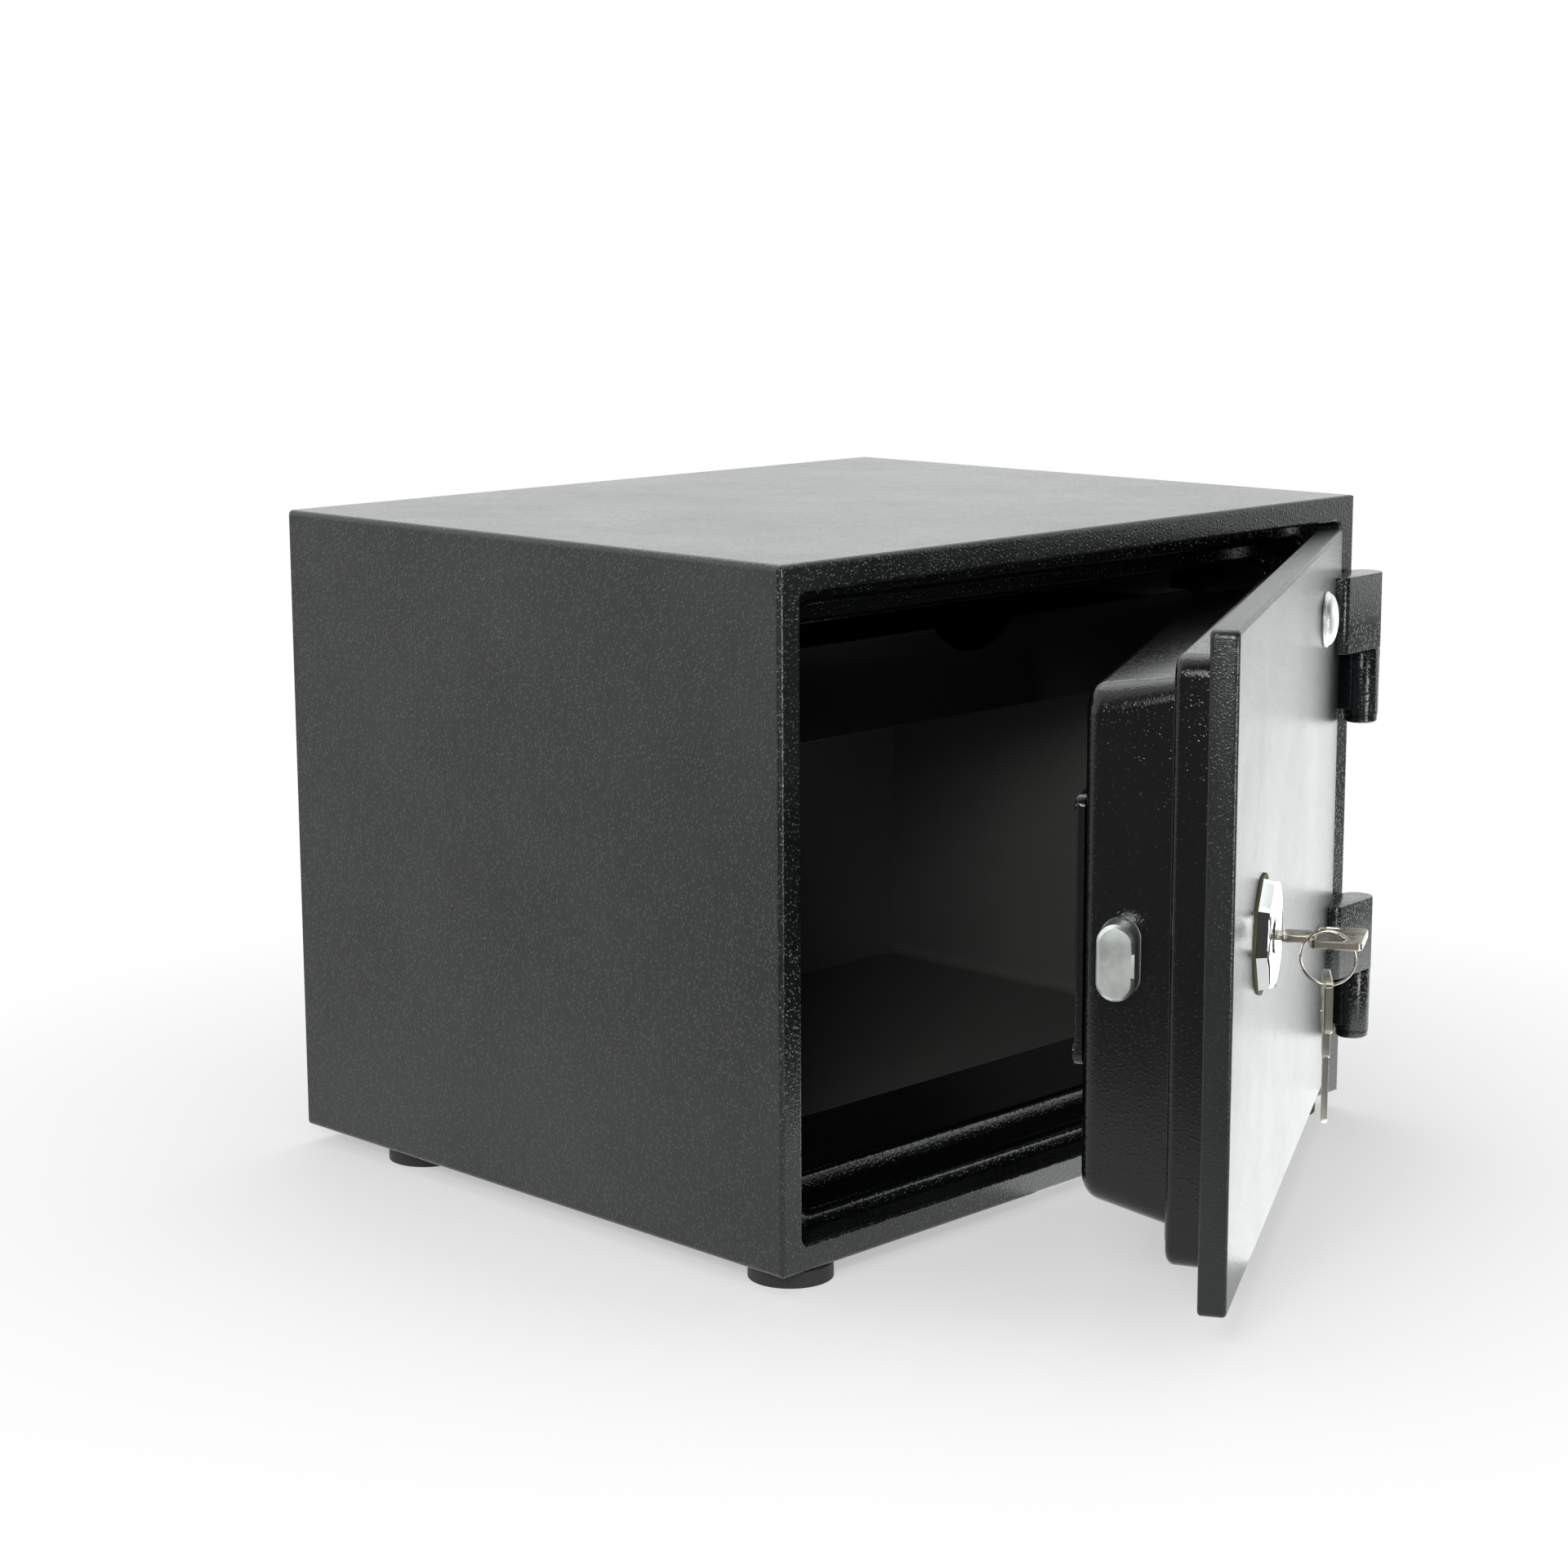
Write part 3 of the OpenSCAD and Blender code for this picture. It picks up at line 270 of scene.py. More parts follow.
finishes = {
    # shellCoat, frameCoat, doorCoat, panCoat, hingeCoat and blockCoat are one black paint; their different base tones
    # are painted light and shade, darkest on the frame and the pans, lightest on the shell
    "shellCoat": coat("shellCoat", (0.003, 0.004, 0.0035), (0.040, 0.043, 0.041), 0.20, 1.5, 0.16, 0.6, gloss=1.58),
    "frameCoat": coat("frameCoat", (0.0012, 0.0016, 0.0016), (0.004, 0.005, 0.005), 0.13, 1.7, 0.10, 0.7),
    "doorCoat": coat("doorCoat", (0.010, 0.011, 0.0105), (0.020, 0.022, 0.021), 0.21, 1.3, 0.07, 2.0, 0.0),
    "panCoat": coat("panCoat", (0.0012, 0.0014, 0.0012), (0.006, 0.0065, 0.006), 0.15, 1.7, 0.075, 0.8),
    "hingeCoat": coat("hingeCoat", (0.004, 0.005, 0.006), (0.012, 0.013, 0.014), 0.12, 1.5, 0.16, 0.5),
    "blockCoat": coat("blockCoat", (0.004, 0.005, 0.006), (0.016, 0.017, 0.018), 0.17, 1.5, 0.17, 0.5),
    "linerCoat": coat("linerCoat", (0.085, 0.088, 0.082), (0.10, 0.103, 0.096), 0.38, 1.2, 0.01),
    "trayPlastic": coat("trayPlastic", (0.003, 0.0032, 0.0032), (0.005, 0.0054, 0.0054), 0.36, 0.8, 0.02, gloss=1.36),
    "rubber": coat("rubber", (0.012, 0.012, 0.012), (0.018, 0.018, 0.018), 0.6, 1.0, 0.03),
    "sealStrip": coat("sealStrip", (0.02, 0.02, 0.019), (0.03, 0.03, 0.028), 0.8, 0.8, 0.05),
    "gasketFibre": coat("gasketFibre", (0.085, 0.082, 0.028), (0.12, 0.115, 0.045), 0.75, 0.9, 0.06, 0.8),
    "fireFilling": coat("fireFilling", (0.42, 0.40, 0.34), (0.50, 0.48, 0.42), 0.9, 3.0, 0.2, 0.9),
    "chrome": metal("chrome", (0.80, 0.81, 0.82), (0.88, 0.89, 0.90), 0.05, (60, 60, 60), 0.000002),
    "boltChrome": metal("boltChrome", (0.80, 0.82, 0.80), (0.88, 0.90, 0.88), 0.36, (60, 60, 60)),
    "badgeSilver": metal("badgeSilver", (0.78, 0.80, 0.79), (0.86, 0.88, 0.87), 0.5, (500, 500, 60)),
    "keyNickel": metal("keyNickel", (0.52, 0.48, 0.41), (0.60, 0.56, 0.49), 0.22, (120, 120, 60), 0.000001),
    "plainSteel": metal("plainSteel", (0.50, 0.50, 0.50), (0.60, 0.60, 0.60), 0.32, (200, 200, 200)),
    "nutBrass": metal("nutBrass", (0.55, 0.40, 0.17), (0.66, 0.50, 0.24), 0.28, (200, 200, 200)),
}
finishOf = {
    "outer_shell": "shellCoat", "back_panel": "shellCoat", "front_frame": "frameCoat",
    "throat_frame": "frameCoat", "inner_liner": "linerCoat", "body_insulation": "fireFilling",
    "strike_keeper": "plainSteel", "feet": "rubber", "hinge_leaf_upper": "hingeCoat",
    "hinge_leaf_lower": "hingeCoat", "hinge_pin_upper": "hingeCoat", "hinge_pin_lower": "hingeCoat",
    "drawer_rail_left": "linerCoat", "drawer_rail_right": "linerCoat", "door_plate": "doorCoat",
    "door_step_pan": "panCoat", "door_inner_pan": "panCoat", "door_insulation": "fireFilling",
    "door_seal": "sealStrip", "inner_cover": "panCoat", "cover_screws": "hingeCoat",
    "hinge_block_upper": "blockCoat", "hinge_block_lower": "blockCoat", "lock_gasket": "gasketFibre",
    "lock_rosette": "chrome", "round_badge": "badgeSilver", "cylinder_housing": "chrome",
    "lock_nut": "nutBrass", "lock_case": "plainSteel", "bolt_guide": "plainSteel",
    "cylinder_plug": "plainSteel", "lock_cam": "plainSteel", "door_key": "keyNickel",
    "live_bolt": "boltChrome", "bolt_carrier": "plainSteel", "carrier_rivets": "plainSteel",
    "key_ring": "keyNickel", "spare_key": "keyNickel", "drawer_tray": "trayPlastic",
}
for name, obj in nodes.items():
    for slot in obj.material_slots:
        slot.material = finishes[finishOf[name]]
print("finishes set:", len(finishes))


# places: pieces are drawn in millimetres from the middle of the front rim's lower edge,
# x to the right, y into the safe, and the door's pieces as if the door were shut

stance = {
    "feet": 8.0,           # height of the feet
    "middle": 142.0,       # from the front rim back to the frame's origin
    "hinge": (193.5, -10.0),
    "open": 29.3,          # degrees
    "low": 14.6,           # the door plate's edges above the shell's bottom
    "high": 285.4,
    "half": 183.4,         # half of the plate's width
    "lockAt": (-100.0, 150.0),
}
milli = Matrix.Scale(0.001, 4)
onBody = Matrix.Translation((0, -stance["middle"] / 1000, stance["feet"] / 1000)) @ milli
hingeLine = Matrix.Translation((*stance["hinge"], 0))
onDoor = onBody @ hingeLine @ Matrix.Rotation(math.radians(stance["open"]), 4, "Z") @ hingeLine.inverted()
facing = Matrix.Rotation(math.pi / 2, 4, "X")   # turns a piece's axis toward the front


# mesh helpers

def quarter(steps):  # angles of a quarter turn
    return [math.pi / 2 * k / steps for k in range(steps + 1)]


def fullTurn(steps):
    return [2 * math.pi * k / steps for k in range(steps)]


def rounded(x0, x1, z0, z1, y, corner, steps=7):  # a rounded rectangle that faces the front
    points = []
    for cx, cz, start in ((x1 - corner, z1 - corner, 0), (x0 + corner, z1 - corner, 90),
                          (x0 + corner, z0 + corner, 180), (x1 - corner, z0 + corner, 270)):
        for i in range(steps + 1):
            a = math.radians(start + 90 * i / steps)
            points.append((cx + corner * math.cos(a), y, cz + corner * math.sin(a)))
    return points


def loft(bm, rings, capStart=True, closed=False):
    rows = [[bm.verts.new(p) for p in ring] for ring in rings]
    pairs = list(zip(rows, rows[1:])) + ([(rows[-1], rows[0])] if closed else [])
    for a, b in pairs:
        for i in range(len(a)):
            j = (i + 1) % len(a)
            bm.faces.new((a[i], a[j], b[j], b[i]))
    if capStart and not closed:
        bm.faces.new(rows[0][::-1])
    if not closed:
        bm.faces.new(rows[-1])
    return rows


def turned(bm, profile, place, around=56):  # radius and height along an axis, closed at both ends
    loft(bm, [[place @ Vector((radius * math.cos(a), radius * math.sin(a), height)) for a in fullTurn(around)]
              for radius, height in profile])


def bevelSharp(bm, width, limit=30.0):
    bm.normal_update()
    sharp = [e for e in bm.edges if len(e.link_faces) == 2 and e.calc_face_angle(0) > math.radians(limit)]
    bmesh.ops.bevel(bm, geom=sharp, offset=width, offset_type="OFFSET", segments=2, profile=0.6,
                    affect="EDGES", clamp_overlap=True)


def pour(part, bm):  # moves a part's faces into bm
    mesh = bpy.data.meshes.new("part")
    part.to_mesh(mesh)
    part.free()
    bm.from_mesh(mesh)
    bpy.data.meshes.remove(mesh)


def smoothed(mesh, finish, angle=32.0):
    for polygon in mesh.polygons:
        polygon.use_smooth = True
    mesh.set_sharp_from_angle(angle=math.radians(angle))
    mesh.materials.clear()
    mesh.materials.append(finishes[finish])


def makeObject(name, bm, place, finish, angle=32.0):
    bmesh.ops.transform(bm, matrix=place, verts=bm.verts)
    bmesh.ops.recalc_face_normals(bm, faces=bm.faces)
    mesh = bpy.data.meshes.new(name)
    bm.to_mesh(mesh)
    bm.free()
    smoothed(mesh, finish, angle)
    piece = bpy.data.objects.new(name, mesh)
    bpy.context.scene.collection.objects.link(piece)
    return piece


def standFor(piece, body, node):
    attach(piece, body)
    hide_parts(node)
    return piece


def bakeModifiers(piece):
    bpy.context.view_layer.update()
    result = bpy.data.meshes.new_from_object(piece.evaluated_get(bpy.context.evaluated_depsgraph_get()))
    piece.modifiers.clear()
    piece.data = result
    return result


mending = {"merge": 0.000003, "flat": 0.8}   # metres and degrees: what is joined before edges are broken


def softEdges(node, body, width):
    # the node's own shape with its edges broken, as a machined or cast piece has them
    bm = bmesh.new()
    bm.from_mesh(nodes[node].data)
    bmesh.ops.remove_doubles(bm, verts=bm.verts, dist=mending["merge"])
    bmesh.ops.dissolve_limit(bm, angle_limit=math.radians(mending["flat"]), verts=bm.verts, edges=bm.edges)
    bevelSharp(bm, width / 1000)
    return standFor(makeObject(node + "_soft", bm, Matrix.Identity(4), finishOf[node]), body, node)


# door: the plate and its two stepped pans are pressed shells that narrow toward the inside

plate = {
    "low": (0, 0), "high": (0, 0), "side": (0, 0),   # inset at the mouth and at the face, from the plate's edges
    "corner": (3.2, 3.2), "mouth": 11.5, "face": 0.0, "edge": 2.0, "wall": 2.0, "hem": 1.4,
    "lip": (12.4, 12.0, 15.1),   # flange folded in to the step pan: low, high, side
    "lipCorner": 8.4, "lipThick": 1.2,
}
stepPan = {
    "low": (12.6, 13.0), "high": (12.2, 12.6), "side": (15.4, 15.7),
    "corner": (8.5, 9.0), "mouth": 10.4, "face": 27.2, "edge": 3.6, "wall": 1.5, "hem": 0.0,
}
innerPan = {
    "low": (23.6, 33.6), "high": (23.4, 28.2), "side": (29.4, 31.0),
    "corner": (9.0, 12.5), "mouth": 25.0, "face": 64.2, "edge": 6.5, "wall": 1.5, "hem": 0.0,
}
pressing = {"edgeSteps": 6, "hemSteps": 4, "leastEdge": 0.4, "leastCorner": 1.0}


def shellRings(size, wall):  # outlines from the mouth to the face, moved in by the wall
    mouth, face, hem = size["mouth"], size["face"], size["hem"]
    way = 1 if face > mouth else -1
    face -= way * wall
    edge = max(size["edge"] - wall, pressing["leastEdge"])
    levels = []
    if hem and not wall:  # the mouth's edge is rolled a little
        levels += [(mouth + way * hem * (1 - math.sin(a)), hem * (1 - math.cos(a)))
                   for a in quarter(pressing["hemSteps"])[:0:-1]]
    levels.append((mouth + way * hem, 0.0))
    levels.append((face - way * edge, 0.0))
    levels += [(face - way * edge * (1 - math.sin(a)), edge * (1 - math.cos(a)))
               for a in quarter(pressing["edgeSteps"])[1:]]
    rings = []
    for y, inset in levels:
        t = (y - size["mouth"]) / (size["face"] - size["mouth"])
        low, high, side, corner = (size[k][0] + (size[k][1] - size[k][0]) * t
                                   for k in ("low", "high", "side", "corner"))
        half = stance["half"] - side - inset - wall
        z0, z1 = stance["low"] + low + inset + wall, stance["high"] - high - inset - wall
        rings.append(rounded(-half, half, z0, z1, y, max(corner - inset - wall, pressing["leastCorner"])))
    return rings


def makeShell(name, size, finish):
    bm = bmesh.new()
    rings = shellRings(size, 0.0)
    if "lip" in size:
        low, high, side = size["lip"]
        half = stance["half"] - side
        rings = [rounded(-half, half, stance["low"] + low, stance["high"] - high, y, size["lipCorner"])
                 for y in (size["mouth"] - size["lipThick"], size["mouth"])] + rings
    outer = loft(bm, rings, capStart=False)
    inner = loft(bm, shellRings(size, size["wall"]), capStart=False)
    for i in range(len(outer[0])):
        j = (i + 1) % len(outer[0])
        bm.faces.new((outer[0][i], outer[0][j], inner[0][j], inner[0][i]))
    return makeObject(name, bm, onDoor, finish)


boltHole = {
    "width": 15.5, "height": 31.0, "gap": 0.6, "y": 48.7, "z": 150.0,
    "reach": (20, 40),   # of the cutter, from the plate's edge inward
    "around": 48,
}


def cutBoltHole(piece):
    r = boltHole["width"] / 2 + boltHole["gap"]
    rise = (boltHole["height"] - boltHole["width"]) / 2
    rings = []
    for depth in boltHole["reach"]:
        ring = []
        for i in range(boltHole["around"]):
            a = 2 * math.pi * (i + 0.5) / boltHole["around"]
            z = boltHole["z"] + r * math.sin(a) + math.copysign(rise, math.sin(a))
            ring.append((-stance["half"] + depth, boltHole["y"] + r * math.cos(a), z))
        rings.append(ring)
    bm = bmesh.new()
    loft(bm, rings)
    cutter = makeObject("boltHoleCutter", bm, onDoor, "panCoat")
    cut = piece.modifiers.new("boltHole", "BOOLEAN")
    cut.object = cutter
    cut.solver = "EXACT"
    smoothed(bakeModifiers(piece), "panCoat")
    bpy.data.objects.remove(cutter)


def makeDoorShells():
    standFor(makeShell("door_plate_folded", plate, "doorCoat"), "door", "door_plate")
    standFor(makeShell("door_step_pressed", stepPan, "panCoat"), "door", "door_step_pan")
    inner = makeShell("door_inner_pressed", innerPan, "panCoat")
    cutBoltHole(inner)
    standFor(inner, "door", "door_inner_pan")


filling = {"gap": 0.2, "from": 2.2, "toStep": 9.9, "corner": 1.2, "shelf": 0.01, "innerShelf": 0.4}


def makeFilling():  # cast filling that follows the pans from inside
    gap = filling["gap"]
    inset = plate["wall"] + gap
    half = stance["half"] - inset
    rings = [rounded(-half, half, stance["low"] + inset, stance["high"] - inset, y, filling["corner"])
             for y in (filling["from"], filling["toStep"])]
    for size, start in ((stepPan, filling["toStep"] + filling["shelf"]),
                        (innerPan, innerPan["mouth"] + filling["innerShelf"])):
        first, *others = shellRings(size, size["wall"] + gap)
        rings += [[(x, start, z) for x, y, z in first]] + others
    bm = bmesh.new()
    loft(bm, rings)
    standFor(makeObject("door_filling_cast", bm, onDoor, "fireFilling"), "door", "door_insulation")


seal = {"outer": 6.4, "inner": 10.4, "slope": 0.3, "from": 27.15, "to": 27.9, "corner": 6.0}


def makeSeal():
    half = stance["half"] - stepPan["side"][1]
    low, high = stance["low"] + stepPan["low"][1], stance["high"] - stepPan["high"][1]
    section = ((seal["outer"], seal["from"]), (seal["outer"] + seal["slope"], seal["to"]),
               (seal["inner"] - seal["slope"], seal["to"]), (seal["inner"], seal["from"]))
    bm = bmesh.new()
    loft(bm, [rounded(-half + inset, half - inset, low + inset, high - inset, y, seal["corner"])
              for inset, y in section], closed=True)
    standFor(makeObject("door_seal_strip", bm, onDoor, "sealStrip"), "door", "door_seal")


makeDoorShells()
makeFilling()
makeSeal()
print("door shells made")


# hinges: a cast wedge block on the door over a turned knuckle on the body

hinges = {
    "seams": {"upper": 227.0, "lower": 66.8},   # where block and knuckle meet
    "knuckleFoot": {"upper": 194.0, "lower": 35.5},
    "blockHeight": {"upper": 36.8, "lower": 36.0},
    "barrel": 8.4,
    "arc": (-68.0, 148.0, 22),   # the block round the barrel: first angle, turn, steps
    "reach": 30.0,          # from the axis to the block's low end
    "slope": 25.0,          # of its long face, degrees
    "nose": (-0.8, -8.5),   # where that face ends over the barrel
    "round": 4.6, "roundSteps": 8,
    "back": 9.95,           # the block's back on the door plate
    "relief": (9.6, -1.5, -10.0),   # stands off the body there: level, from, to
    "soft": 0.45,
    "gap": 0.4,
    "leaf": (184.5, 197.7, -10.0, -0.1),   # its width and depth
    "leafFoot": 2.5, "leafCorner": 1.2, "leafSoft": 0.3,
    "turning": ((-0.9, 0.0), (-0.35, 0.15), (0.0, 0.5)),   # the knuckle's lower edge: radius and height
    "finish": ((0.0, -0.5), (-0.15, -0.15), (-0.5, 0.0)),  # and its upper edge
}


def blockOutline():
    a = math.radians(hinges["slope"])
    out = Vector((-math.sin(a), -math.cos(a)))
    nose, r, steps = Vector(hinges["nose"]), hinges["round"], hinges["roundSteps"]
    cx = -hinges["reach"] + r
    cy = (out.x * cx - (out.dot(nose) - r)) / -out.y
    points = [(-hinges["reach"], hinges["back"])]
    points += [(cx + r * math.cos(b), cy + r * math.sin(b))
               for b in (math.pi + (math.pi / 2 - a) * k / steps for k in range(steps + 1))]
    points.append(tuple(nose))
    first, turn, steps = hinges["arc"]
    points += [(hinges["barrel"] * math.cos(b), hinges["barrel"] * math.sin(b))
               for b in (math.radians(first + turn * k / steps) for k in range(steps + 1))]
    level, start, end = hinges["relief"]
    return points + [(start, level), (end, level), (end, hinges["back"])]


def makeBlock(which):
    z0 = hinges["seams"][which]
    hx, hy = stance["hinge"]
    outline = [(hx + x, hy + y) for x, y in blockOutline()]
    bm = bmesh.new()
    loft(bm, [[(x, y, z) for x, y in outline] for z in (z0, z0 + hinges["blockHeight"][which])])
    bmesh.ops.recalc_face_normals(bm, faces=bm.faces)
    caps = [e for e in bm.edges if abs(e.verts[0].co.z - e.verts[1].co.z) < 0.01]
    bmesh.ops.bevel(bm, geom=caps, offset=hinges["soft"], offset_type="OFFSET", segments=3, profile=0.5,
                    affect="EDGES", clamp_overlap=True)
    standFor(makeObject("hinge_block_%s_cast" % which, bm, onDoor, "blockCoat"), "door", "hinge_block_" + which)


def makeKnuckle(which):
    z0, z1, r = hinges["knuckleFoot"][which], hinges["seams"][which] - hinges["gap"], hinges["barrel"]
    bm = bmesh.new()
    turned(bm, [(r + dr, z0 + dz) for dr, dz in hinges["turning"]]
           + [(r + dr, z1 + dz) for dr, dz in hinges["finish"]], hingeLine)
    x0, x1, *depth = hinges["leaf"]
    leaf = bmesh.new()
    loft(leaf, [rounded(x0, x1, z0 + hinges["leafFoot"], z1, y, hinges["leafCorner"], 4) for y in depth])
    bevelSharp(leaf, hinges["leafSoft"])
    pour(leaf, bm)
    standFor(makeObject("hinge_leaf_%s_turned" % which, bm, onBody, "hingeCoat"), "safe_body", "hinge_leaf_" + which)


for which in ("upper", "lower"):
    makeBlock(which)
    makeKnuckle(which)
print("hinges made")


# welds: beads of overlapping drops along the leaves and in short runs round the back panel

welds = {
    "pitch": 0.0011, "drop": 0.0010,   # metres, spacing and radius of the drops
    "vary": (0.8, 1.1),                # their sizes
    "segments": 8, "rings": 5,
    "seed": 7,
    "leafAt": (197.9, -0.5), "leafEnds": (3.5, 1.5),   # beside the leaves, and how far short of their ends
    "run": 26.0, "inset": 2.2,         # length of the runs on the back, and their place before its face
    "sideAt": 196.0, "sideRuns": (25.0, 99.0, 173.0, 249.0),
    "levels": (2.2, 297.8), "levelRuns": (-170.0, -96.0, -13.0, 61.0, 144.0),
}


def weldPaths():
    paths = []
    x, y = welds["leafAt"]
    foot, head = welds["leafEnds"]
    for which in ("upper", "lower"):
        z0, z1 = hinges["knuckleFoot"][which] + foot, hinges["seams"][which] - head
        paths.append([(x, y, z0), (x, y, z1)])
    back = cadBox[1][1] * 1000 + stance["middle"] - welds["inset"]
    for side in (-1, 1):
        x = side * welds["sideAt"]
        paths += [[(x, back, z), (x, back, z + welds["run"])] for z in welds["sideRuns"]]
    for z in welds["levels"]:
        paths += [[(x, back, z), (x + welds["run"], back, z)] for x in welds["levelRuns"]]
    return paths


def makeWeldTree():
    tree = bpy.data.node_groups.new("weldBeads", "GeometryNodeTree")
    tree.interface.new_socket(name="Geometry", in_out="INPUT", socket_type="NodeSocketGeometry")
    for label, kind, value in (("Pitch", "NodeSocketFloat", 0.001), ("Drop", "NodeSocketFloat", 0.001),
                               ("Seed", "NodeSocketInt", 1), ("Finish", "NodeSocketMaterial", None)):
        socket = tree.interface.new_socket(name=label, in_out="INPUT", socket_type=kind)
        if value is not None:
            socket.default_value = value
    tree.interface.new_socket(name="Geometry", in_out="OUTPUT", socket_type="NodeSocketGeometry")
    given, out = tree.nodes.new("NodeGroupInput"), tree.nodes.new("NodeGroupOutput")
    line = add(tree, "GeometryNodeMeshToCurve", {0: given.outputs["Geometry"]})
    dots = add(tree, "GeometryNodeResampleCurve", {"Curve": line.outputs[0], "Length": given.outputs["Pitch"]},
               mode="LENGTH")
    drop = add(tree, "GeometryNodeMeshUVSphere", {"Radius": given.outputs["Drop"], "Segments": welds["segments"],
                                                  "Rings": welds["rings"]})
    vary = add(tree, "FunctionNodeRandomValue", {"Seed": given.outputs["Seed"]}, data_type="FLOAT")
    vary.inputs[2].default_value, vary.inputs[3].default_value = welds["vary"]   # least and most
    spots = add(tree, "GeometryNodeInstanceOnPoints", {"Points": dots.outputs[0], "Instance": drop.outputs[0],
                                                       "Scale": vary.outputs[1]})
    solid = add(tree, "GeometryNodeRealizeInstances", {0: spots.outputs[0]})
    painted = add(tree, "GeometryNodeSetMaterial", {"Geometry": solid.outputs[0], "Material": given.outputs["Finish"]})
    tree.links.new(painted.outputs[0], out.inputs[0])
    return tree


def makeWelds():
    mesh = bpy.data.meshes.new("weld_beads")
    points, joins = [], []
    for a, b in weldPaths():
        joins.append((len(points), len(points) + 1))
        points += [onBody @ Vector(a), onBody @ Vector(b)]
    mesh.from_pydata(points, joins, [])
    piece = bpy.data.objects.new("weld_beads", mesh)
    bpy.context.scene.collection.objects.link(piece)
    tree = makeWeldTree()
    beads = piece.modifiers.new("beads", "NODES")
    beads.node_group = tree
    values = {"Pitch": welds["pitch"], "Drop": welds["drop"], "Seed": welds["seed"], "Finish": finishes["shellCoat"]}
    for item in tree.interface.items_tree:
        if item.in_out == "INPUT" and item.name in values:
            beads[item.identifier] = values[item.name]
    smoothed(bakeModifiers(piece), "shellCoat", 80)
    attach(piece, "safe_body")


makeWelds()
print("welds made")


# bolt, inner cover and tray keep the shapes of their nodes, with broken edges

edges = {
    # node: body, width of the broken edge in mm
    "live_bolt": ("bolt", 0.6),
    "inner_cover": ("door", 0.3),
    "drawer_tray": ("tray", 0.45),
}
for node, (body, width) in edges.items():
    softEdges(node, body, width)
print("bolt, cover and tray edges broken")

badge = {
    "at": (112.0, 250.8), "radius": 12.9, "rim": 1.9, "dome": 6.2,
    "foot": ((-0.2, 0.05), (0.0, 0.3)),                    # on the door: radius from the rim's, height
    "edge": ((0.0, -0.4), (-0.25, -0.1), (-0.7, 0.0)),     # in front: both from the rim's
    "domeIn": 0.9, "domeUp": 0.05, "domeSteps": 12,
}


def makeBadge():  # a bare domed badge
    r, rim = badge["radius"], badge["rim"]
    profile = [(r + dr, z) for dr, z in badge["foot"]] + [(r + dr, rim + dz) for dr, dz in badge["edge"]]
    profile += [(math.cos(b) * (r - badge["domeIn"]), rim + badge["domeUp"] + (badge["dome"] - rim) * math.sin(b))
                for b in quarter(badge["domeSteps"])[:-1]]
    x, z = badge["at"]
    bm = bmesh.new()
    turned(bm, profile, Matrix.Translation((x, 0, z)) @ facing)
    standFor(makeObject("round_badge_domed", bm, onDoor, "badgeSilver", 50), "door", "round_badge")


makeBadge()

ringWire = {
    "turns": 2.0, "radius": 11.0, "wire": 0.58, "pitch": 1.2, "around": 12, "steps": 72,
    "tip": 0.55, "taper": 0.15,   # share of the wire's radius at its ends, and what each step adds
}


def makeRing():  # split ring: two turns of one wire
    low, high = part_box("key_ring")
    middle = (Vector(low) + Vector(high)) / 2
    turnBack = Matrix.Rotation(math.radians(stance["open"]), 4, "Z")
    count = int(ringWire["turns"] * ringWire["steps"])
    rings = []
    for i in range(count + 1):
        a = 2 * math.pi * i / ringWire["steps"] + math.pi / 2
        side = (i / count - 0.5) * ringWire["pitch"] * (ringWire["turns"] - 1)
        wire = ringWire["wire"] * min(1.0, ringWire["tip"] + ringWire["taper"] * min(i, count - i))
        hub = Vector((0, math.cos(a), math.sin(a)))
        rings.append([Vector((side + wire * math.sin(b), 0, 0)) + hub * (ringWire["radius"] + wire * math.cos(b))
                      for b in fullTurn(ringWire["around"])])
    bm = bmesh.new()
    loft(bm, rings)
    place = Matrix.Translation(middle) @ turnBack @ milli
    standFor(makeObject("key_ring_split", bm, place, "keyNickel"), "ring", "key_ring")


makeRing()


# lock: the gasket, the rosette and the cylinder on the door's face

rosette = {
    "foot": 0.9, "radius": 24.5, "turn": 10.5, "around": 96, "front": 6.7,
    "rim": 0.97,   # radius of the round parts, times the octagon's
    "levels": (    # height, size, and how round the outline is there
        (0.0, 0.985, 0.0), (0.25, 1.0, 0.0), (4.6, 0.955, 0.0), (4.9, 0.94, 0.1),
        (5.2, 0.91, 0.3), (5.45, 0.87, 0.6), (5.6, 0.83, 0.9), (5.6, 0.80, 1.0),
        (5.3, 0.78, 1.0), (5.0, 0.72, 1.0), (5.1, 0.66, 1.0), (5.2, 0.60, 1.0),
    ),
}
gasket = {"radius": 24.9, "hole": 11.0, "wave": 0.25, "waves": 9, "back": 0.02, "around": 96}


def atLock(out):  # the lock's place on the door, with a piece's axis toward the front
    x, z = stance["lockAt"]
    return onDoor @ (Matrix.Translation((x, -out, z)) @ facing)


def makeGasket():  # cut from fibre sheet, its rim squeezed out unevenly
    back, front = gasket["back"], rosette["foot"]
    rings = []
    for scale, out in ((1.0, back), (1.0, front), (0.0, front), (0.0, back)):
        ring = []
        for a in fullTurn(gasket["around"]):
            rim = gasket["radius"] + gasket["wave"] * math.sin(gasket["waves"] * a) * math.cos(2 * a)
            r = gasket["hole"] + (rim - gasket["hole"]) * scale
            ring.append((r * math.cos(a), r * math.sin(a), out))
        rings.append(ring)
    bm = bmesh.new()
    loft(bm, rings, closed=True)
    standFor(makeObject("lock_gasket_cut", bm, atLock(0.0), "gasketFibre"), "door", "lock_gasket")


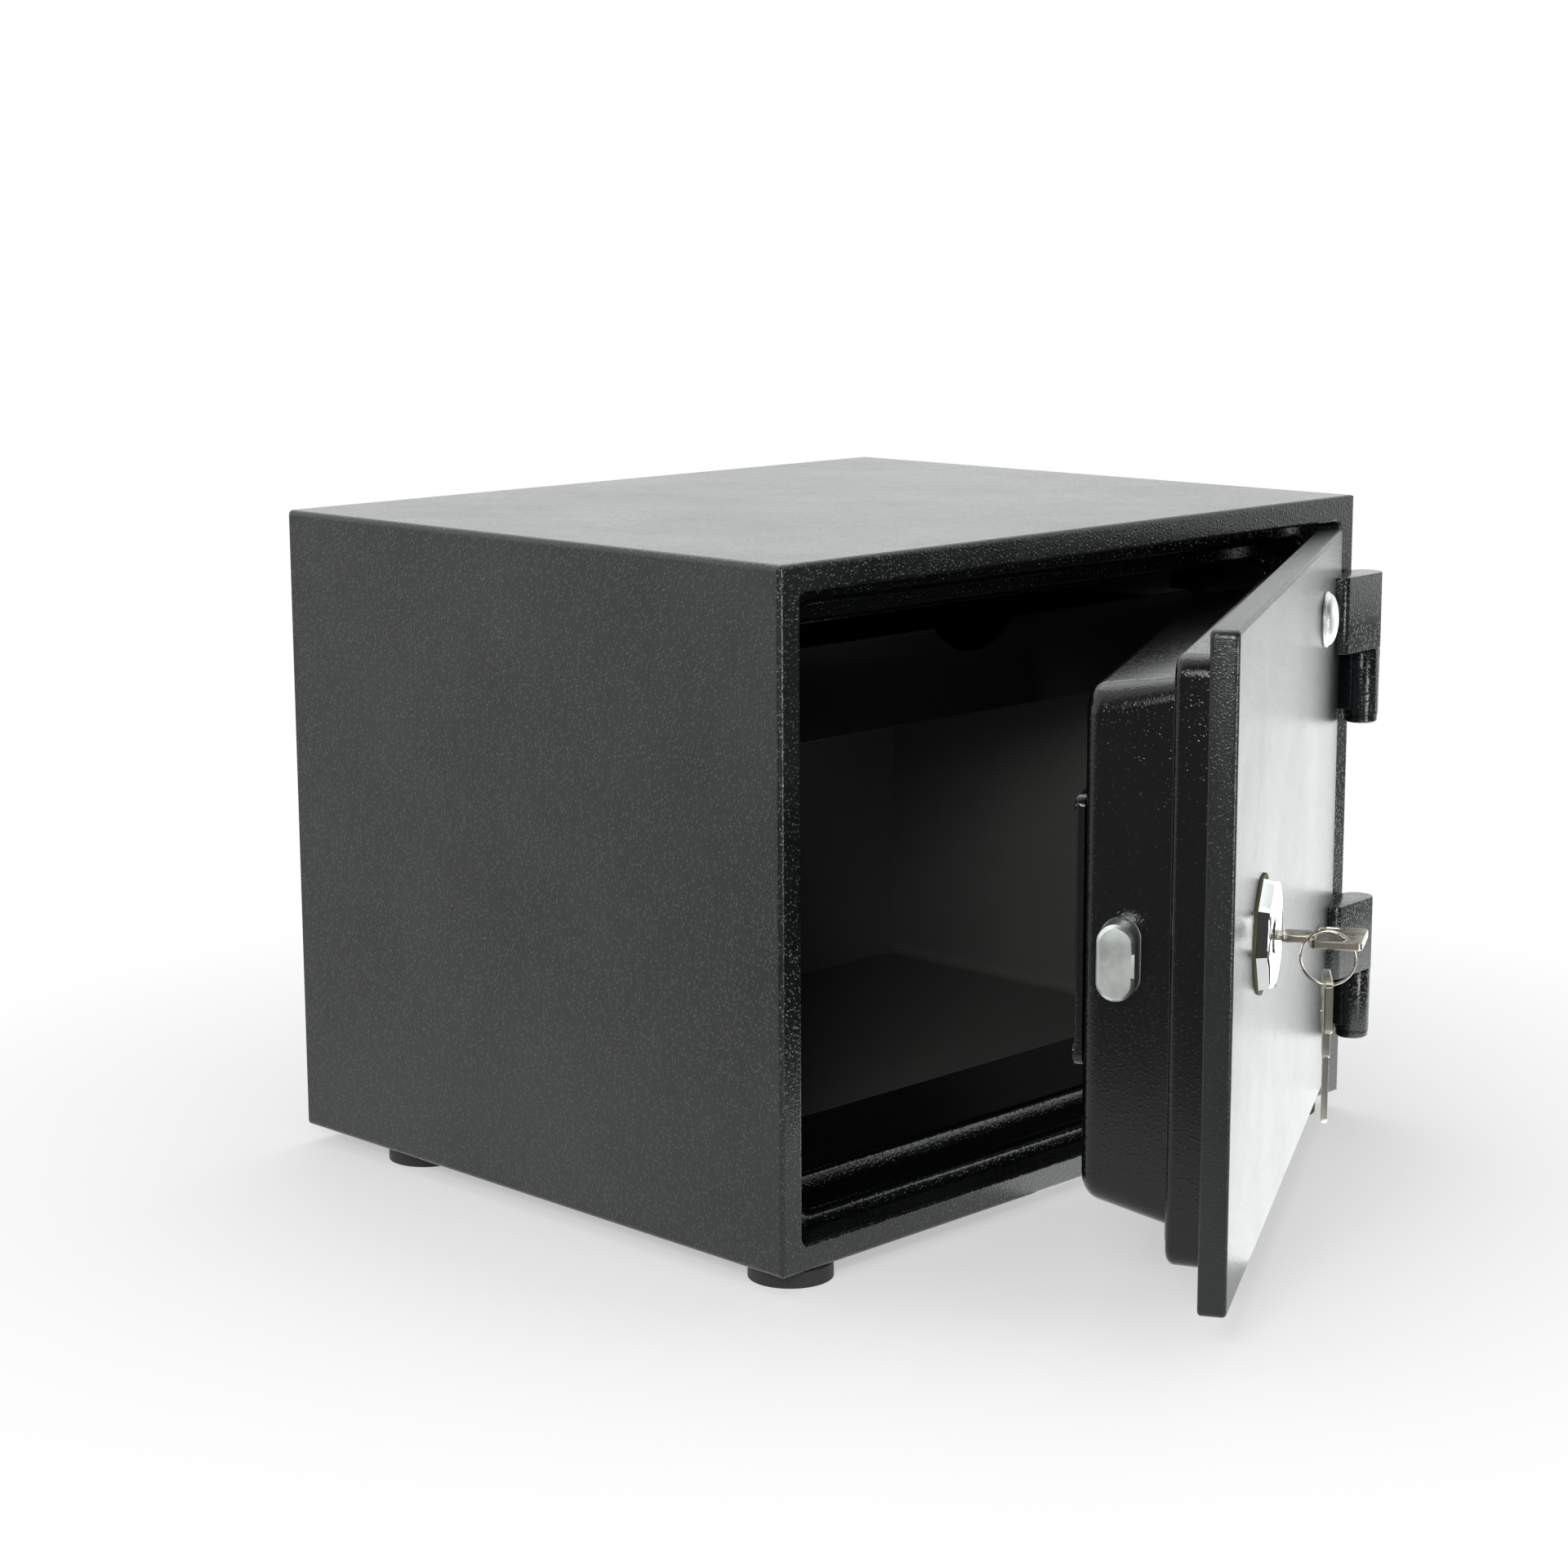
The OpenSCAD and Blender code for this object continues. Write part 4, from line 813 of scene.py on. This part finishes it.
def makeRosette():  # eight planed sides that run into a rounded rim
    radius, around = rosette["radius"], rosette["around"]
    across = radius * math.cos(math.radians(22.5))
    rings = []
    for height, scale, blend in rosette["levels"]:
        ring = []
        for i in range(around):
            step = math.radians(360 * i / around)
            flat = across / math.cos(step % (math.pi / 4) - math.pi / 8)
            r = scale * (flat * (1 - blend) + radius * rosette["rim"] * blend)
            a = step + math.radians(rosette["turn"])
            ring.append((r * math.cos(a), r * math.sin(a), height))
        rings.append(ring)
    bm = bmesh.new()
    loft(bm, rings)
    standFor(makeObject("lock_rosette_polished", bm, atLock(rosette["foot"]), "chrome"), "door", "lock_rosette")


def pushIn(piece, front):  # the cylinder's face stands level with the rosette's dished middle
    back = onDoor.inverted()
    for vertex in piece.data.vertices:
        at = back @ vertex.co
        at.y = max(at.y, -front)
        vertex.co = onDoor @ at
    piece.data.update()


# keys, drawn along x from the bow's end, flat in x and y

key = {
    "bow": (21.2, 27.0), "thick": 2.9, "corner": 2.4, "bowSoft": 0.25,
    "slot": (2.5, 7.5, 20.0), "slotCorner": 2.2,       # from, to and width of the slot for the ring
    "rim": 1.7, "rimHigh": 0.3, "rimSoft": 0.12, "rimSunk": 0.1, "rimIn": 0.3,   # raised rim round the bow
    "panelFrom": 1.6, "panelCorner": 2.4,              # sunk panel behind the slot
    "slotRim": 1.2, "slotRimCorner": 2.8, "slotRimSoft": 0.1, "slotRimOver": 0.001,
    "neck": (20.2, 33.0, 11.5), "neckCut": 1.2, "neckSoft": 0.3,
    "blade": (32.6, 61.2, 8.6), "bladeThick": 2.3, "bladeSoft": 0.18,
    "tip": (1.2, 0.4, 2.6),
    "groove": 1.5, "web": 1.3, "webHalf": 1.2, "webShort": 0.6, "webSoft": 0.1,
    "cuts": ((37.4, 0.9), (41.6, 1.6), (45.8, 0.7), (50.0, 1.4), (54.2, 1.0)),   # place and depth
    "cutFlat": 0.5,
    "sharp": 40.0,                # degrees, the edges that are broken
    "bowStart": -41.9,            # the door key's bow end in front of the door
    "ringSide": -8.0, "ringAt": -28.0, "spareTop": 136.3,   # where the spare key hangs, from the lock
    "spareTwist": 9.0,            # degrees about its own upright line
}


def flatRing(x0, x1, halfWidth, corner, z):
    return [(x, y, z) for x, gone, y in rounded(x0, x1, -halfWidth, halfWidth, 0, corner, 5)]


def addBlock(bm, outline, half, width):  # a flat block, as thick above as below
    part = bmesh.new()
    loft(part, [[(x, y, z) for x, y in outline] for z in (-half, half)])
    bmesh.ops.recalc_face_normals(part, faces=part.faces)
    bevelSharp(part, width, key["sharp"])
    pour(part, bm)


def addFrame(bm, outer, inner, z0, z1, soft):  # a flat frame between two outlines (x0, x1, half, corner)
    levels = [(z0, soft), (z0 + soft, 0.0), (z1 - soft, 0.0), (z1, soft)]
    rings = []
    for shape, sign in ((outer, 1), (inner, -1)):
        x0, x1, half, corner = shape
        for z, inset in levels[::sign]:
            d = inset * sign
            rings.append(flatRing(x0 + d, x1 - d, half - d, max(corner - d, 0.3), z))
    loft(bm, rings, closed=True)


def bladeRail(side):  # one side of the blade beside its groove; the cuts are on the side away from the camera
    x0, x1, width = key["blade"]
    back, rise, slant = key["tip"]
    half, inner, flat = width / 2, key["groove"] / 2, key["cutFlat"]
    points = [(x0, inner), (x1 - back, inner), (x1, inner + rise), (x1 - slant, half)]
    for at, deep in reversed(key["cuts"] if side > 0 else ()):
        points += [(at + deep + flat, half), (at + flat, half - deep), (at - flat, half - deep),
                   (at - deep - flat, half)]
    points.append((x0, half))
    return [(x, side * y) for x, y in (points if side > 0 else points[::-1])]


def makeKey(name, node, body, place):
    length, width = key["bow"]
    half, t, rim, near = width / 2, key["thick"] / 2, key["rim"], key["rimIn"]
    s0, s1, slotWidth = key["slot"]
    slot = (s0, s1, slotWidth / 2, key["slotCorner"])
    face = (near, length - near, half - near, key["corner"] - near)
    panel = (s1 + key["panelFrom"], length - rim - near, half - rim - near, key["panelCorner"])
    grow = key["slotRim"]
    slotRim = (s0 - grow, s1 + grow, slotWidth / 2 + grow, key["slotRimCorner"])
    bm = bmesh.new()
    addFrame(bm, (0.0, length, half, key["corner"]), slot, -t, t, key["bowSoft"])
    for side in (-1, 1):
        low, high = sorted((side * (t - key["rimSunk"]), side * (t + key["rimHigh"])))
        addFrame(bm, face, panel, low, high, key["rimSoft"])
        addFrame(bm, slotRim, slot, low, high + key["slotRimOver"], key["slotRimSoft"])
        addBlock(bm, bladeRail(side), key["bladeThick"] / 2, key["bladeSoft"])
    n0, n1, neck = key["neck"]
    edge, cut = neck / 2, key["neckCut"]
    addBlock(bm, [(n0, -edge), (n1 - cut, -edge), (n1, -edge + cut), (n1, edge - cut), (n1 - cut, edge), (n0, edge)],
             t, key["neckSoft"])
    b0, b1, gone = key["blade"]
    b1 -= key["webShort"]
    web = key["webHalf"]
    addBlock(bm, [(b0, -web), (b1, -web), (b1, web), (b0, web)], key["web"] / 2, key["webSoft"])
    standFor(makeObject(name, bm, place, "keyNickel", 28), body, node)


def makeKeys():
    x, z = stance["lockAt"]
    inLock = Matrix.Translation((x, key["bowStart"], z)) @ Matrix.Rotation(math.pi / 2, 4, "Z")
    makeKey("door_key_cut", "door_key", "key_and_plug", onDoor @ inLock)
    hangs = Matrix(((0, 1, 0, 0), (0, 0, -1, 0), (-1, 0, 0, 0), (0, 0, 0, 1)))
    twist = Matrix.Rotation(math.radians(key["spareTwist"]), 4, "Z")
    onRing = Matrix.Translation((x + key["ringSide"], key["ringAt"], key["spareTop"])) @ twist @ hangs
    makeKey("spare_key_cut", "spare_key", "spare", onDoor @ onRing)


makeGasket()
makeRosette()
for node, body, width in (("cylinder_housing", "door", 0.3), ("cylinder_plug", "key_and_plug", 0.2)):
    pushIn(softEdges(node, body, width), rosette["front"])
makeKeys()
print("badge, ring, lock and keys made")


# floor, backdrop light and lamps

studio = {
    "floorSize": 30.0,
    "floorGrey": 0.93,
    "plain": 0.5,           # light that falls on the object from all round
    "litSide": (0.40, 0.917, 0.0),   # the white sweep stands at the back right
    "tint": (0.965, 1.0, 0.985),
    "sweepTint": (0.97, 1, 0.985, 1),
    "sky": (-0.4, 0.1, 0.05, 1.25),      # what polished faces see: the fade's limits, the unlit and the lit side
    "ground": (-0.25, 0.10, 0.22, 0.74),   # the same on the floor, whose glow in reflections is painted light
    "near": (0.45, 0.65, 0.8, 0.22),     # and on the floor round the safe, a painted pool of light: distances, near and far
    "blend": (0.26, 0.56, 0.45, 1.0),    # how the camera sees the floor turn from matt to plain white
    "lamps": [
        # name, place, aim, width, height, brightness
        ("softboxRight", (1.75, -0.95, 0.38), (0.19, -0.15, 0.15), 0.9, 0.75, 1.3),
        ("lightTable", (1.235, 0.49, 0.004), (1.235, 0.49, 1.0), 2.53, 1.82, 1.5),
        ("softboxLeft", (-1.75, -0.75, 0.95), (0.0, -0.1, 0.15), 0.6, 0.8, 2.8),
        ("softboxTop", (0.5, 0.6, 2.0), (0.0, 0.0, 0.2), 1.8, 1.4, 1.5),
        ("stripFront", (-0.07, -1.13, 0.17), (0.17, -0.18, 0.22), 0.2, 0.32, 13.0),
        ("fillInside", (-1.0, -0.75, 0.6), (0.16, 0.05, 0.12), 0.3, 0.3, 20.0),
    ],
}
pureWhite = (1, 1, 1, 1)


def makeLamp(name, place, aim, width, height, brightness):
    data = bpy.data.lights.new(name, "AREA")
    data.shape = "RECTANGLE"
    data.size = width
    data.size_y = height
    data.energy = brightness * math.pi * width * height
    data.color = studio["tint"]
    lamp = bpy.data.objects.new(name, data)
    away = (Vector(place) - Vector(aim)).normalized()
    lamp.matrix_world = Matrix.Translation(place) @ away.to_track_quat("Z", "Y").to_matrix().to_4x4()
    lamp.visible_camera = False
    bpy.context.scene.collection.objects.link(lamp)


def litFrom(tree, direction, fade):  # dim on the unlit side, full toward the white sweep
    toward = vectors(tree, "DOT_PRODUCT", {0: direction, 1: studio["litSide"]})["Value"]
    return spread(tree, toward, *fade, "SMOOTHSTEP")


def polishedRays(tree, path):
    return calc(tree, "MAXIMUM", path.outputs["Is Glossy Ray"], path.outputs["Is Transmission Ray"])


def blended(tree, share, first, second):
    return add(tree, "ShaderNodeMixShader", {0: share, 1: first.outputs[0], 2: second.outputs[0]})


def makeWorld():
    world = bpy.data.worlds.new("studio")
    bpy.context.scene.world = world
    world.use_nodes = True
    tree = world.node_tree
    tree.nodes.clear()
    path = add(tree, "ShaderNodeLightPath")
    direction = add(tree, "ShaderNodeTexCoord").outputs["Generated"]
    plain = add(tree, "ShaderNodeBackground", {"Color": pureWhite, "Strength": studio["plain"]})
    reflectedGlow = add(tree, "ShaderNodeBackground",
                {"Color": studio["sweepTint"], "Strength": litFrom(tree, direction, studio["sky"])})
    white = add(tree, "ShaderNodeBackground", {"Color": pureWhite, "Strength": 1.0})
    mirrored = blended(tree, polishedRays(tree, path), plain, reflectedGlow)
    seen = blended(tree, path.outputs["Is Camera Ray"], mirrored, white)
    add(tree, "ShaderNodeOutputWorld", {"Surface": seen.outputs[0]})


def makeFloor():
    size, grey = studio["floorSize"], studio["floorGrey"]
    mesh = bpy.data.meshes.new("floor")
    mesh.from_pydata([(-size, -size, 0), (size, -size, 0), (size, size, 0), (-size, size, 0)], [], [(0, 1, 2, 3)])
    floor = bpy.data.objects.new("floor", mesh)
    bpy.context.scene.collection.objects.link(floor)
    material = bpy.data.materials.new("floorWhite")
    material.use_nodes = True
    tree = material.node_tree
    tree.nodes.clear()
    at = objectCoords(tree)
    reach = vectors(tree, "LENGTH", {0: at})["Value"]
    path = add(tree, "ShaderNodeLightPath")
    matt = add(tree, "ShaderNodeBsdfDiffuse", {"Color": (grey, grey, grey, 1)})
    white = add(tree, "ShaderNodeEmission", {"Color": pureWhite, "Strength": 1.0})
    # for polished rays the floor glows as a painted reflection of a lit floor: brighter toward the lit side and round
    # the safe
    glow = calc(tree, "MAXIMUM", litFrom(tree, at, studio["ground"]), spread(tree, reach, *studio["near"]))
    reflectedGlow = add(tree, "ShaderNodeEmission", {"Color": studio["sweepTint"], "Strength": glow})
    clear = calc(tree, "MULTIPLY", path.outputs["Is Camera Ray"], spread(tree, reach, *studio["blend"]))
    seen = blended(tree, clear, matt, white)
    mirrored = blended(tree, polishedRays(tree, path), seen, reflectedGlow)
    add(tree, "ShaderNodeOutputMaterial", {"Surface": mirrored.outputs[0]})
    mesh.materials.append(material)


for lamp in studio["lamps"]:
    makeLamp(*lamp)
makeWorld()
makeFloor()
print("studio set")
